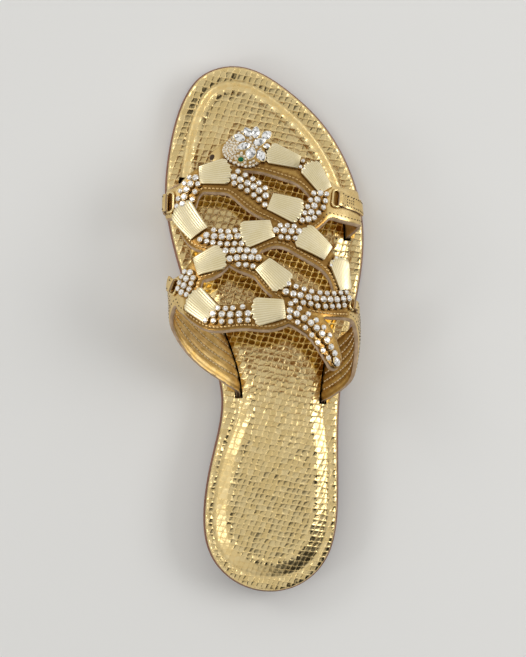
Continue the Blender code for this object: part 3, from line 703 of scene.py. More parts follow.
class Finish(NodeTree):
    """One material; an underscore in a socket's name stands for a space."""

    def __init__(self, name, colour, metallic=0.0, roughness=0.5, **constants):
        self.material = bpy.data.materials.new(name)
        self.material.use_nodes = True
        super().__init__(self.material.node_tree)
        self.shader = self.tree.nodes["Principled BSDF"]
        self.set(Base_Color=(*colour, 1), Metallic=metallic, Roughness=roughness, **constants)

    def set(self, **values):
        for key, value in values.items():
            self.plug(self.shader.inputs[key.replace("_", " ")], value)

    def object_place(self):
        return self.add("ShaderNodeTexCoord").outputs["Object"]

    def object_axis(self, axis):
        split = self.add("ShaderNodeSeparateXYZ", None, {0: self.object_place()})
        return self.value(split, axis)

    def noise(self, scale, detail=3.0, roughness=0.5, at=None):
        at = at or self.object_place()
        sockets = {"Vector": at, "Scale": scale, "Detail": detail, "Roughness": roughness}
        return self.value(self.add("ShaderNodeTexNoise", None, sockets))

    def attribute(self, name):
        return self.value(self.add("ShaderNodeAttribute", {"attribute_name": name}), "Fac")

    def mix(self, factor, first, second):
        """A colour between two colours."""
        colours = [(*c, 1) if isinstance(c, tuple) else c for c in (first, second)]
        node = self.add("ShaderNodeMix", {"data_type": "RGBA"}, {0: factor, 6: colours[0], 7: colours[1]})
        return node.outputs[2]

    def drift(self, noise, dark, light):
        """A colour that follows a noise from dark to light."""
        return self.mix(noise.ease(0.3, 0.7), dark, light)

    def bump(self, height_mm):
        """Relief in millimetres."""
        sockets = {"Strength": 1.0, "Distance": MM, "Height": height_mm}
        self.set(Normal=self.add("ShaderNodeBump", None, sockets).outputs[0])


def foil_finish():
    """Gold foil over embossed scales: low pillows, each tilted its own way, fine rolled gaps. Painted
    reflection and painted shade turn the scales amber and brown behind each strap, and painted shade
    makes the slots near black.
    """
    foil = Finish("gold foil scales", (0.86, 0.66, 0.31), metallic=1.0)
    lattice = foil.add("ShaderNodeUVMap", {"uv_map": "scales"}).outputs[0]
    wander = foil.add("ShaderNodeTexNoise", None, {"Vector": lattice, "Scale": 0.6, "Detail": 2.0})
    parts = foil.add("ShaderNodeSeparateXYZ", None, {0: lattice})
    drift = foil.add("ShaderNodeSeparateColor", None, {0: wander.outputs["Color"]})
    on_border = foil.attribute("border")
    loose = 0.7 - on_border * 0.1
    u = foil.value(parts, 0) + (foil.value(drift, 0) - 0.5) * loose
    v = foil.value(parts, 1) + (foil.value(drift, 1) - 0.5) * loose
    across = u.fraction() - 0.5
    up = v.fraction() - 0.5
    cell = foil.add("ShaderNodeCombineXYZ", None, {0: u.floor(), 1: v.floor()})
    chance = foil.add("ShaderNodeTexWhiteNoise", {"noise_dimensions": "2D"}, {"Vector": cell.outputs[0]})
    lots = foil.add("ShaderNodeSeparateColor", None, {0: chance.outputs["Color"]})
    tilt = (foil.value(lots, 0) - 0.5) * across + (foil.value(lots, 1) - 0.5) * up
    rim = (abs(across) ** 3.2 + abs(up) ** 3.2) ** 0.3125
    line = rim.ease(0.40, 0.50)
    pillow = 1 - (rim * 2) ** 3.0
    embossed = foil.attribute("embossed")
    crinkle = foil.noise(1100.0, 3.0, 0.6)
    wrinkle = foil.noise(75.0, 3.0, 0.55)
    dent = foil.noise(420.0, 2.0, 0.5)
    scales = tilt * (0.66 - on_border * 0.16) + pillow * (0.21 - on_border * 0.05)
    height = scales * embossed + crinkle * 0.04 + wrinkle * 0.22 + dent * (0.19 - embossed * 0.10)
    foil.bump(height)
    tone = foil.value(lots, 2)
    face = foil.mix(tone, (0.84, 0.63, 0.28), (0.90, 0.71, 0.36))
    # Painted reflection and painted shade: behind each strap the scales turn amber, then brown, with
    # bright gold lines, in place of the straps' dark undersides mirrored in the foil
    shade = foil.attribute("shade")
    near_strap = shade.ease(0.45, 0.95)
    brown = foil.mix(tone, (0.28, 0.130, 0.012), (0.48, 0.255, 0.030))
    amber = foil.mix(near_strap, (0.76, 0.53, 0.18), brown)
    painted_reflection = foil.mix(shade.ease(0.0, 0.55), face, foil.mix(line, amber, (0.98, 0.71, 0.26)))
    # Painted shade: the slots are painted near black
    trench = foil.attribute("trench")
    foil.set(Base_Color=foil.mix(trench, painted_reflection, (0.012, 0.007, 0.003)))
    foil.set(Roughness=0.14 + line * 0.26 + crinkle * 0.08 + tone * 0.06 + (1 - embossed) * 0.12)
    return foil.material


def leather_finish():
    """Metallic leather with painted shade: amber on the crossings, brown in the welt's channel, round the
    feet of the ornament and inside the loops.
    """
    leather = Finish("gold leather", (0.84, 0.63, 0.30), metallic=0.95)
    fine = leather.noise(2300.0, 3.0, 0.6)
    crush = leather.noise(330.0, 4.0, 0.55)
    cloud = leather.noise(95.0, 2.0, 0.5)
    leather.bump(fine * 0.020 + crush * 0.032 + cloud * 0.10)
    shade = cloud * 0.55 + crush * 0.45
    body = leather.drift(shade, (0.70, 0.49, 0.19), (0.84, 0.63, 0.30))
    # sunk carries the painted shade: amber up to 0.5, dark brown towards 1
    sunk = leather.attribute("sunk")
    amber = leather.mix(sunk.ease(0.0, 0.5), body, (0.50, 0.30, 0.085))
    leather.set(Base_Color=leather.mix(sunk.ease(0.5, 1.0), amber, (0.29, 0.150, 0.036)))
    leather.set(Roughness=0.28 + (crush - 0.5) * 0.16)
    return leather.material


def lining_finish():
    """Inner face: corded rows on the quarters, with painted shade in the cords' valleys and over the
    lateral quarter; plain bronze leather under the crossings.
    """
    lining = Finish("lining leather", (0.72, 0.50, 0.19))
    fine = lining.noise(1900.0, 3.0, 0.6)
    crush = lining.noise(300.0, 4.0, 0.55)
    row = lining.attribute("row")
    corded = lining.attribute("cords")
    # Painted shade: the valleys between the cords are darkened
    valley = (abs((row * CORD_WAVES).fraction() - 0.5) * 2).ease(0.60, 1.0)
    # Painted shade: the lateral quarter's corded lining is amber, darker than the medial one's gold
    lateral_painted_shade = (lining.object_axis(0) * 100).ease(-0.5, 0.5)
    gold = lining.drift(crush, (0.62, 0.40, 0.115), (0.82, 0.59, 0.25))
    amber = lining.drift(crush, (0.28, 0.150, 0.030), (0.48, 0.28, 0.070))
    body = lining.mix(lateral_painted_shade, gold, amber)
    rows = lining.mix(valley * 0.60, body, (0.20, 0.095, 0.020))
    plain = lining.drift(crush, (0.44, 0.25, 0.065), (0.62, 0.39, 0.13))
    lining.set(Base_Color=lining.mix(corded, plain, rows), Metallic=0.80 + corded * 0.12)
    lining.set(Roughness=0.38 + (crush - 0.5) * 0.2 + (1 - corded) * 0.08)
    lining.bump(fine * 0.03 + crush * 0.05)
    return lining.material


def cut_edge_finish():
    """The raw cut edge of the leather, taupe, with faint layers, and painted shade near black low down by
    the slots.
    """
    edge = Finish("taupe cut edge", (0.50, 0.36, 0.25), roughness=0.72, Specular_IOR_Level=0.2)
    fibre = edge.noise(1400.0, 4.0, 0.65)
    cloud = edge.noise(220.0, 2.0, 0.5)
    taupe = edge.drift(cloud, (0.42, 0.285, 0.17), (0.58, 0.42, 0.275))
    # sunk here is painted shade, near black low down by the slots
    edge.set(Base_Color=edge.mix(edge.attribute("sunk"), taupe, (0.06, 0.032, 0.014)))
    edge.bump(fibre * 0.05)
    return edge.material


def metal_finish(name, colour, roughness, scratch):
    metal = Finish(name, colour, metallic=1.0)
    haze = metal.noise(420.0, 3.0, 0.6)
    metal.bump(haze * scratch)
    metal.set(Roughness=roughness + (haze - 0.5) * 0.12)
    return metal.material


def satin_fan_finish():
    """Champagne gold plate, satin, with a fine line of painted shade in each fold and a painted highlight
    on each ridge.
    """
    satin = Finish("satin champagne plate", (0.90, 0.77, 0.47), metallic=1.0)
    haze = satin.noise(180.0, 3.0, 0.55)
    fold = satin.attribute("pleat").fraction()
    groove = abs(fold - 0.5).ease(0.35, 0.5)
    ridge = 1 - abs(fold - 0.5).ease(0.0, 0.16)
    body = satin.drift(haze, (0.87, 0.74, 0.43), (0.92, 0.80, 0.52))
    # Painted highlight on each ridge; painted shade in each fold below
    lit = satin.mix(ridge * 0.7, body, (1.0, 0.93, 0.70))
    satin.set(Base_Color=satin.mix(groove * 0.42, lit, (0.50, 0.37, 0.14)))
    satin.bump(haze * 0.03)
    satin.set(Roughness=0.31 + (haze - 0.5) * 0.10 + groove * 0.1)
    return satin.material


def stone_finish(name, silver, shaded, lit, facet_scale):
    """Bright cut stone: some facets silvered or in painted shade, others painted light, under a sharp
    gloss.
    """
    gloss = {"Coat_Weight": 0.6, "Coat_Roughness": 0.03}
    stone = Finish(name, (0.92, 0.91, 0.88), metallic=silver, roughness=0.06, **gloss)
    fire = stone.noise(facet_scale, 1.0, 0.5)
    stone.set(Base_Color=stone.mix(fire.ease(0.36, 0.52), shaded, lit))
    return stone.material


def emerald_finish():
    emerald = Finish("green stone", (0.0, 0.10, 0.04), roughness=0.12, Specular_IOR_Level=0.25)
    depth = emerald.noise(700.0, 2.0, 0.5)
    emerald.set(Base_Color=emerald.drift(depth, (0.0, 0.050, 0.018), (0.0, 0.16, 0.065)))
    return emerald.material


def sole_finish(name, dark, light, roughness, scuff):
    """Dense sole leather or rubber, with cloudy colour and light scuffs."""
    sole = Finish(name, light)
    cloud = sole.noise(45.0, 4.0, 0.6)
    grain = sole.noise(1300.0, 3.0, 0.6)
    stretch = sole.add("ShaderNodeMapping", None, {0: sole.object_place(), 3: (900.0, 60.0, 900.0)})
    scratch = sole.noise(1.0, 3.0, 0.7, at=stretch.outputs[0]).ease(0.62, 0.74)
    body = sole.drift(cloud, dark, light)
    sole.set(Base_Color=sole.mix(scratch * scuff, body, (0.45, 0.32, 0.24)))
    sole.bump(grain * 0.06 - scratch * 0.05)
    sole.set(Roughness=roughness + (cloud - 0.5) * 0.2)
    return sole.material


def stacked_finish():
    """Leather board of the heel: thin level layers along its side."""
    heel = Finish("stacked heel board", (0.17, 0.075, 0.04))
    band = (heel.object_axis(2) * 2 * math.pi / (1.6 * MM)).sine()
    cloud = heel.noise(60.0, 4.0, 0.6)
    heel.set(Base_Color=heel.mix(cloud * 0.6 + band * 0.2, (0.10, 0.042, 0.022), (0.23, 0.105, 0.055)))
    heel.bump(band * 0.03 + cloud * 0.04)
    heel.set(Roughness=0.42 + cloud * 0.1)
    return heel.material


def thread_finish():
    thread = Finish("gold thread", (0.98, 0.82, 0.52), metallic=0.5)
    twist = thread.noise(2600.0, 2.0, 0.5)
    thread.bump(twist * 0.05)
    thread.set(Roughness=0.34 + (twist - 0.5) * 0.2)
    return thread.material


FOIL = foil_finish()
GOLD_LEATHER = leather_finish()
LINING = lining_finish()
CUT_EDGE = cut_edge_finish()
FAN_PLATE = satin_fan_finish()
BRIGHT_GOLD = metal_finish("bright gold plate", (0.88, 0.67, 0.32), 0.15, 0.010)
# Dark brown gold: on the stones' backing plates it is painted shade between the stones; it is also the
# head's dome
DARK_GOLD_PLATE = metal_finish("shaded gold plate", (0.42, 0.25, 0.075), 0.34, 0.030)
WELT_GOLD = metal_finish("welt gold", (0.66, 0.45, 0.19), 0.30, 0.012)
CUP_GOLD = metal_finish("cup gold", (0.76, 0.56, 0.27), 0.22, 0.010)
STONE = stone_finish("clear round stone", 0.30, (0.47, 0.41, 0.34), (1.0, 0.985, 0.94), 1500.0)
TINY_CLEAR = stone_finish("tiny clear stone", 0.45, (0.40, 0.27, 0.12), (1.0, 0.93, 0.78), 1900.0)
LONG_STONE = stone_finish("clear long stone", 0.45, (0.30, 0.30, 0.29), (1.0, 0.995, 0.97), 800.0)
EMERALD = emerald_finish()
SOLE_LEATHER = sole_finish("outsole leather", (0.19, 0.080, 0.045), (0.31, 0.145, 0.085), 0.46, 0.25)
RUBBER = sole_finish("heel rubber", (0.018, 0.014, 0.012), (0.040, 0.032, 0.028), 0.66, 0.12)
HEEL_BOARD = stacked_finish()
THREAD = thread_finish()
# Painted shade: dark beads and discs set on the leather stand in for the shade inside pinholes and the
# tip hole
PIERCED = Finish("dark pinhole", (0.055, 0.028, 0.010), roughness=0.8).material


# ---------------------------------------------------------------- meshes
def to_metres(points):
    """Rows of metres, measured from the shoe's own middle, from points in millimetres."""
    return ((np.asarray(points, float).reshape(-1, 3) - (MIDLINE, 0, 0)) * MM).tolist()


def linked(name, data):
    """A new object in the scene."""
    made = bpy.data.objects.new(name, data)
    bpy.context.scene.collection.objects.link(made)
    return made


def shade(mesh, crease):
    """Smooth shading, with sharp edges where faces turn by more than the crease."""
    mesh.shade_smooth()
    mesh.set_sharp_from_angle(angle=math.radians(crease))


def raw_object(name, points, faces, materials, face_material=None, crease=40.0):
    """An object from points in millimetres."""
    mesh = bpy.data.meshes.new(name)
    mesh.from_pydata(to_metres(points), [], [list(map(int, face)) for face in faces])
    for finish in materials:
        mesh.materials.append(finish)
    if face_material is not None:
        mesh.polygons.foreach_set("material_index", np.asarray(face_material, np.int32))
    shade(mesh, crease)
    return linked(name, mesh)


def face_outwards(made):
    """Turns every face of a closed piece outwards."""
    work = bmesh.new()
    work.from_mesh(made.data)
    bmesh.ops.recalc_face_normals(work, faces=work.faces[:])
    work.to_mesh(made.data)
    work.free()


def add_columns(made, **columns):
    """Keeps a number at every point of a piece, for its finish to read."""
    for key, values in columns.items():
        column = made.data.attributes.new(key, "FLOAT", "POINT")
        column.data.foreach_set("value", values.astype(np.float32))


def dress(made, slot, *nodes):
    """Puts a finished piece on the shoe in place of its solids."""
    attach(made, "root")
    if nodes:
        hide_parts(*nodes)


def sheet_faces(rows, columns, first=0):
    """Quads of a grid of points."""
    a = first + (np.arange(rows - 1)[:, None] * columns + np.arange(columns - 1)).reshape(-1, 1)
    return (a + (0, 1, columns + 1, columns)).tolist()


def ring_faces(rings, count, first=0):
    """Bands of quads between closed rings of points."""
    i, j = np.meshgrid(np.arange(rings - 1), np.arange(count), indexing="ij")
    a = (first + i * count + j).reshape(-1)
    b = (first + i * count + (j + 1) % count).reshape(-1)
    return np.stack([a, b, b + count, a + count], axis=1).tolist()


def closed_rings(rings, count):
    """Faces of a solid between closed rings of points, with a lid at each end."""
    faces = ring_faces(rings, count)
    faces.append(tuple(range(count - 1, -1, -1)))
    faces.append(tuple(range((rings - 1) * count, rings * count)))
    return faces


def lens_cap(first, count):
    """Strips across a ring whose first point is the toe and whose half way point is the heel."""
    faces = [(first, first + 1, first + count - 1)]
    for j in range(1, count // 2 - 1):
        faces.append((first + j, first + j + 1, first + count - j - 1, first + count - j))
    middle = first + count // 2
    faces.append((middle - 1, middle, middle + 1))
    return faces


def plate_parts(top, bottom):
    """Points and faces of a slab between two grids of points."""
    rows, columns = top.shape[:2]
    count = rows * columns
    faces = sheet_faces(rows, columns)
    faces += [face[::-1] for face in sheet_faces(rows, columns, count)]
    rim = list(range(columns))
    rim += [i * columns + columns - 1 for i in range(1, rows)]
    rim += [(rows - 1) * columns + j for j in range(columns - 2, -1, -1)]
    rim += [i * columns for i in range(rows - 2, 0, -1)]
    for a, b in around_loop(rim):
        faces.append((b, a, a + count, b + count))
    return np.concatenate([top.reshape(-1, 3), bottom.reshape(-1, 3)]), faces


def joined(parts):
    """Points and faces of several parts as one list of each."""
    points, faces, first = [], [], 0
    for part_points, part_faces in parts:
        points.append(part_points)
        faces += [[index + first for index in face] for face in part_faces]
        first += len(part_points)
    return np.concatenate(points), faces


# ---------------------------------------------------------------- small repeats on the last
def scatter_tree():
    """Sets one small piece on every point, turned by the point's own directions."""
    group = bpy.data.node_groups.new("set pieces on points", "GeometryNodeTree")
    for name, kind in (
        ("Geometry", "NodeSocketGeometry"),
        ("Small piece", "NodeSocketObject"),
        ("Size", "NodeSocketFloat"),
        ("Finish", "NodeSocketMaterial"),
    ):
        group.interface.new_socket(name, in_out="INPUT", socket_type=kind)
    group.interface.new_socket("Geometry", in_out="OUTPUT", socket_type="NodeSocketGeometry")
    tree = NodeTree(group)

    def vector(name):
        settings = {"data_type": "FLOAT_VECTOR"}
        return tree.add("GeometryNodeInputNamedAttribute", settings, {"Name": name}).outputs["Attribute"]

    given = tree.add("NodeGroupInput").outputs
    axes = {"primary_axis": "Z", "secondary_axis": "X"}
    turn = tree.add("FunctionNodeAxesToRotation", axes, {0: vector("up"), 1: vector("run")})
    sizes = {0: vector("stretch"), "Scale": given["Size"]}
    grow = tree.add("ShaderNodeVectorMath", {"operation": "SCALE"}, sizes)
    piece = tree.add("GeometryNodeObjectInfo", None, {"Object": given["Small piece"]})
    sockets = {
        "Points": given["Geometry"],
        "Instance": piece.outputs["Geometry"],
        "Rotation": turn.outputs[0],
        "Scale": grow.outputs[0],
    }
    placed = tree.add("GeometryNodeInstanceOnPoints", None, sockets)
    real = tree.add("GeometryNodeRealizeInstances", None, {"Geometry": placed.outputs[0]})
    finish = {"Geometry": real.outputs[0], "Material": given["Finish"]}
    painted = tree.add("GeometryNodeSetMaterial", None, finish)
    tree.add("NodeGroupOutput", None, {"Geometry": painted.outputs[0]})
    return group


SCATTER = scatter_tree()
SMALL_PIECES = []


def scatter(name, small_piece, places, lift, run, stretch, finish, crease=30.0):
    """One mesh with the small piece set at every place on the last."""
    places = np.atleast_2d(np.asarray(places, float))
    up = normals(places)
    points = on_last(places) + up * np.reshape(lift, (-1, 1))
    return scatter_at(name, small_piece, points, up, run, stretch, finish, crease)


def scatter_at(name, small_piece, points, up, run, stretch, finish, crease=30.0):
    """One mesh with the small piece set at every point."""
    mesh = bpy.data.meshes.new(name + " points")
    mesh.from_pydata(to_metres(points), [], [])
    columns = {"up": up, "run": run, "stretch": stretch}
    for key, value in columns.items():
        rows = np.broadcast_to(np.asarray(value, float), (len(points), 3)).astype(np.float32)
        mesh.attributes.new(key, "FLOAT_VECTOR", "POINT").data.foreach_set("vector", rows.reshape(-1))
    carrier = linked(name + " carrier", mesh)
    modifier = carrier.modifiers.new("set pieces", "NODES")
    modifier.node_group = SCATTER
    given = {"Small piece": small_piece, "Size": MM, "Finish": finish}
    for item in SCATTER.interface.items_tree:
        if item.name in given:
            modifier[item.identifier] = given[item.name]
    bpy.context.view_layer.update()
    evaluated = carrier.evaluated_get(bpy.context.evaluated_depsgraph_get())
    made_mesh = bpy.data.meshes.new_from_object(evaluated)
    bpy.data.objects.remove(carrier)
    made_mesh.name = name
    for key in columns:
        if key in made_mesh.attributes:
            made_mesh.attributes.remove(made_mesh.attributes[key])
    shade(made_mesh, crease)
    return linked(name, made_mesh)


def small_piece(name, points, faces):
    """A small unit-sized piece for setting many times."""
    mesh = bpy.data.meshes.new(name)
    mesh.from_pydata([tuple(map(float, p)) for p in points], [], [list(map(int, f)) for f in faces])
    made = linked(name, mesh)
    face_outwards(made)
    SMALL_PIECES.append(made)
    return made


def turned_parts(profile, sides, half_steps=False):
    """Points and faces of a round piece: profile rows are radius and height, from the bottom up."""
    points = []
    for level, (radius, height) in enumerate(profile):
        shift = 0.5 * (level % 2) if half_steps else 0.0
        points += [(radius * math.cos(a), radius * math.sin(a), height) for a in turns(sides, shift)]
    faces = closed_rings(len(profile), sides)
    if half_steps:
        facets = []
        for number, (a, b, c, d) in enumerate(faces[:-2]):
            facets += [(a, b, c), (a, c, d)] if number // sides % 2 else [(a, b, d), (b, c, d)]
        faces = facets + faces[-2:]
    return points, faces


def turned_piece(name, profile, sides):
    """A small round piece, lathed from its profile."""
    return small_piece(name, *turned_parts(profile, sides))


def stitch_piece():
    """One stitch: a short rounded bead of thread, as long as 2 and as thick as 2."""
    rings = ((-1.0, 0.25), (-0.8, 0.75), (-0.35, 1.0), (0.35, 1.0), (0.8, 0.75), (1.0, 0.25))
    around = turns(6)
    points = [(x, radius * math.cos(a), radius * math.sin(a)) for x, radius in rings for a in around]
    return small_piece("stitch", points, closed_rings(len(rings), len(around)))


def cut_stone_piece():
    """A round cut stone of radius 1: table, crown and a little of the back."""
    profile = ((0.62, -0.55), (1.0, -0.05), (0.80, 0.26), (0.50, 0.42))
    return small_piece("round stone", *turned_parts(profile, 8, half_steps=True))


PRONG = (
    # reach, half width, height: four steps up its outer face, then three up its inner face
    (1.08, 0.17, -0.5),
    (1.11, 0.17, 0.10),
    (0.93, 0.14, 0.26),
    (0.82, 0.08, 0.22),
    (0.98, 0.12, -0.5),
    (0.98, 0.12, 0.02),
    (0.84, 0.12, 0.12),
)
PRONG_FACES = (
    # outer face, inner face, foot and tip
    ((0, 1, 3, 2), (2, 3, 5, 4), (4, 5, 7, 6)),
    ((8, 10, 11, 9), (10, 12, 13, 11)),
    ((8, 9, 1, 0), (12, 6, 7, 13)),
    # the two flanks
    ((0, 2, 10, 8), (2, 4, 12, 10), (4, 6, 12)),
    ((1, 3, 11, 9), (3, 5, 13, 11), (5, 7, 13)),
)


def cup_piece():
    """A plain round cup with four prongs, for a stone of radius 1."""
    profile = ((0.80, -1.0), (0.92, -0.75), (1.04, -0.15), (1.04, -0.02), (0.97, -0.02), (0.88, -0.25))
    parts = [turned_parts(profile, 12)]
    faces = [face for group in PRONG_FACES for face in group]
    for turn in turns(4, 0.5):
        out = np.array([math.cos(turn), math.sin(turn), 0.0])
        side = np.array([-math.sin(turn), math.cos(turn), 0.0])
        prong = [out * r + side * half * way + (0, 0, z) for r, half, z in PRONG for way in (-1, 1)]
        parts.append((prong, faces))
    return small_piece("prong cup", *joined(parts))


def marquise_piece(name, pull):
    """A long cut stone, 1 each way from its middle; pull draws out one end."""
    rings = ((0.70, -0.45), (1.0, -0.05), (0.72, 0.24), (0.40, 0.40))
    around = turns(12)
    points = []
    for share, height in rings:
        for turn in around:
            x = math.cos(turn) * (1 + pull * max(math.cos(turn), 0) ** 2)
            y = math.sin(turn) * (1 - 0.26 * abs(math.cos(turn)) ** 1.5)
            points.append((x * share, y * share, height))
    return small_piece(name, points, closed_rings(len(rings), len(around)))


# ---------------------------------------------------------------- sole
SOLE_ANGLES = turns(SOLE_POINTS)


def sole_ring(inset, height):
    """A ring of points round the outline, at a height above the outsole's underside."""
    flat = inset_point(SOLE_ANGLES, inset)
    return np.column_stack([flat, rise(flat[:, 1]) + height])


def outsole():
    """Thin leather outsole with a rounded edge and a shallow channel round its tread."""
    steps = (
        (9.0, 0.0),
        (8.6, 0.35),
        (7.6, 0.35),
        (7.2, 0.0),
        (1.4, 0.0),
        (0.75, 0.18),
        (0.30, 0.65),
        (0.06, 1.2),
        (0.0, 1.7),
        (0.0, 2.4),
        (0.10, 2.8),
        (0.35, 3.1),
        (0.75, OUTSOLE_THICKNESS),
    )
    rings = [sole_ring(*step) for step in steps]
    faces = ring_faces(len(rings), SOLE_POINTS)
    faces += [face[::-1] for face in lens_cap(0, SOLE_POINTS)]
    faces += lens_cap((len(rings) - 1) * SOLE_POINTS, SOLE_POINTS)
    made = raw_object("outsole_dressed", np.concatenate(rings), faces, [SOLE_LEATHER])
    face_outwards(made)
    dress(made, "outsole_leather", "outsole")


def heel_ring(inset, points=161, hollow_points=41):
    """The heel's outline: round the back, then the hollow breast."""
    start = math.acos(2 * HEEL_END - 1)
    angles = np.linspace(start, 2 * math.pi - start, points)
    back = inset_point(angles, inset)
    share = np.linspace(0, 1, hollow_points + 2)[1:-1]
    breast = back[-1] + (back[0] - back[-1]) * share[:, None]
    breast[:, 1] -= BREAST_HOLLOW * 4 * share * (1 - share)
    return np.concatenate([back, breast])


def heel_layer(name, levels, finish, slot, node):
    """A slab of the heel; each level is an inset and its heights."""
    rings = []
    for inset, height in levels:
        flat = heel_ring(inset)
        tall = height(flat[:, 1]) if callable(height) else np.full(len(flat), height)
        rings.append(np.column_stack([flat, tall]))
    count = len(rings[0])
    made = raw_object(name, np.concatenate(rings), closed_rings(len(rings), count), [finish])
    face_outwards(made)
    dress(made, slot, node)


def heel():
    """The board-wrapped block under the heel seat, and its rubber lift."""
    floor = HEEL_TOP_PIECE + GAP
    block = (
        (HEEL_FLOOR_INSET + 0.25, floor),
        (HEEL_FLOOR_INSET, floor + 0.3),
        (2.40, floor + 2.0),
        (2.55, floor + 2.15),
        (2.35, floor + 2.3),
        (2.1, lambda y: rise(y) - 1.9),
        (2.25, lambda y: rise(y) - 1.75),
        (2.0, lambda y: rise(y) - 1.6),
        (HEEL_SEAT_INSET, lambda y: rise(y) - GAP - 0.3),
        (HEEL_SEAT_INSET + 0.2, lambda y: rise(y) - GAP),
    )
    heel_layer("heel_dressed", block, HEEL_BOARD, "heel_leather", "heel")
    top_piece = (
        (HEEL_FLOOR_INSET + TOP_PIECE_CHAMFER, 0.0),
        (HEEL_FLOOR_INSET + 0.2, 0.25),
        (HEEL_FLOOR_INSET, TOP_PIECE_CHAMFER),
        (HEEL_FLOOR_INSET, HEEL_TOP_PIECE - 0.2),
        (HEEL_FLOOR_INSET + 0.2, HEEL_TOP_PIECE),
    )
    heel_layer("heel_top_piece_dressed", top_piece, RUBBER, "heel_rubber", "heel_top_piece")


BED_HEIGHTS = (
    # inset, height above the outsole's underside
    (1.15, 7.05),
    (1.6, 7.4),
    (2.3, 7.62),
    (4.0, 7.74),
    (5.6, 7.62),
    (6.4, 7.44),
    (7.0, 7.32),
    (SLOPE_START, 7.32),
    (8.4, 7.52),
    (9.6, 8.12),
    (11.2, 9.08),
    (12.6, 9.82),
    (13.6, 10.22),
    (14.4, 10.34),
    (15.2, 10.24),
    (PAD_REACH, PAD_HEIGHT),
)
BED_CURVE = column_spline(BED_HEIGHTS)
SLOT_MOUTH = (WALL_ROOT_INSET - SLOT_CLEARANCE, WALL_ROOT_INSET + LEATHER + 1.0)
SIDE_HEIGHTS = (OUTSOLE_THICKNESS + GAP, OUTSOLE_THICKNESS + GAP + 0.2, 6.5)
BORDER_INSETS = (
    *(1.15, 0.9, 0.9, 1.15, 1.35, 1.6, 2.0, 2.5, 3.0),
    *(3.5, 4.0, 4.5, 5.0, 5.5, 5.9, 6.2, SLOT_MOUTH[0] - 0.02),
)
PAD_INSETS = (
    *(SLOT_MOUTH[0], 6.9, 7.4, 8.0, 8.6, 9.1, 9.5, SLOT_MOUTH[1], SLOT_MOUTH[1] + 0.02),
    *(10.5, 10.9, 11.6, 12.3, 12.9, 13.3, 13.7, 14.1, 14.6, 15.1, 15.6, PAD_REACH),
)
FREE_SLOT_END = (-1, 0.787)
BORDER_END = 6.6
# Insets at the sides of the heel and round the toe, and those of the same heights elsewhere
HEEL_ROLL = ((0.0, 1.6, 4.2, 11.2, 13.6, 16.0), (0.0, 1.6, 6.6, 13.6, 16.0, 16.4))
TOE_ROLL = ((0.0, 5.0, 7.4, 11.4, 14.0, 16.0), (0.0, 5.0, 6.8, 13.2, 16.0, 16.4))


def slot_mask(angles):
    """Which points round the outline lie beside a slot, just as long as the leather in it."""
    along = (1 + np.cos(angles)) / 2
    side = np.where(angles < math.pi, 1, -1)
    inside = np.zeros(len(angles), bool)
    for slot_side, start, end in SLOTS:
        across = np.linspace(start, end, 400)
        held = across[outside_upper(np.column_stack([np.full(400, slot_side * 0.99), across])) < 0.35]
        front = end if (slot_side, end) == FREE_SLOT_END else held[-1]
        inside |= (side == slot_side) & (along > held[0]) & (along < front)
    return inside


def place_above(flat):
    """The place on the last right above points of the footbed."""
    along = np.clip(flat[:, 1] / LENGTH + 0.5, 0.31, 0.92)
    _, crest_x, medial_x, _, lateral_x, _ = SECTION_CURVE(along).T
    wide = np.where(flat[:, 0] < crest_x, crest_x - medial_x, lateral_x - crest_x)
    share = np.clip((flat[:, 0] - crest_x) / wide, -1, 1)
    return np.column_stack([np.arcsin(share) / (math.pi / 2) * DOME_END, along])


def strap_shade(flat):
    """How much painted reflection of the straps' brown undersides, with painted shade, the footbed gets
    behind each strap, from 0 to 1.
    """
    place = place_above(flat)
    shift = np.interp(place[:, 1], (0.42, 0.55, 0.85), (9.5, 7.0, 5.4))
    moved = place + np.column_stack([np.zeros(len(flat)), shift / LENGTH])
    covered = np.minimum(outside_upper(moved), outside_upper(place + (0, 2.5 / LENGTH)))
    along = flat[:, 1] / LENGTH + 0.5
    return eased((0.8 - covered) / 1.8) * ((along > 0.36) & (along < 0.88))


def pad_lattice(flat):
    """Scale numbers across and along the pad; the rows lean and shrink a little to the heel."""
    x, y = flat[:, 0], flat[:, 1]
    to_heel = 0.5 - y / LENGTH
    u = (x - SCALE_LEAN * y) * (1 + HEEL_SHRINK * to_heel**2) / SCALE_WIDE
    shrunk = y - HEEL_SHRINK * LENGTH / 3 * to_heel**3
    v = (shrunk + ROW_SLOPE * x) / SCALE_LONG + 0.35 * np.sin(x / 17.0)
    return u, v


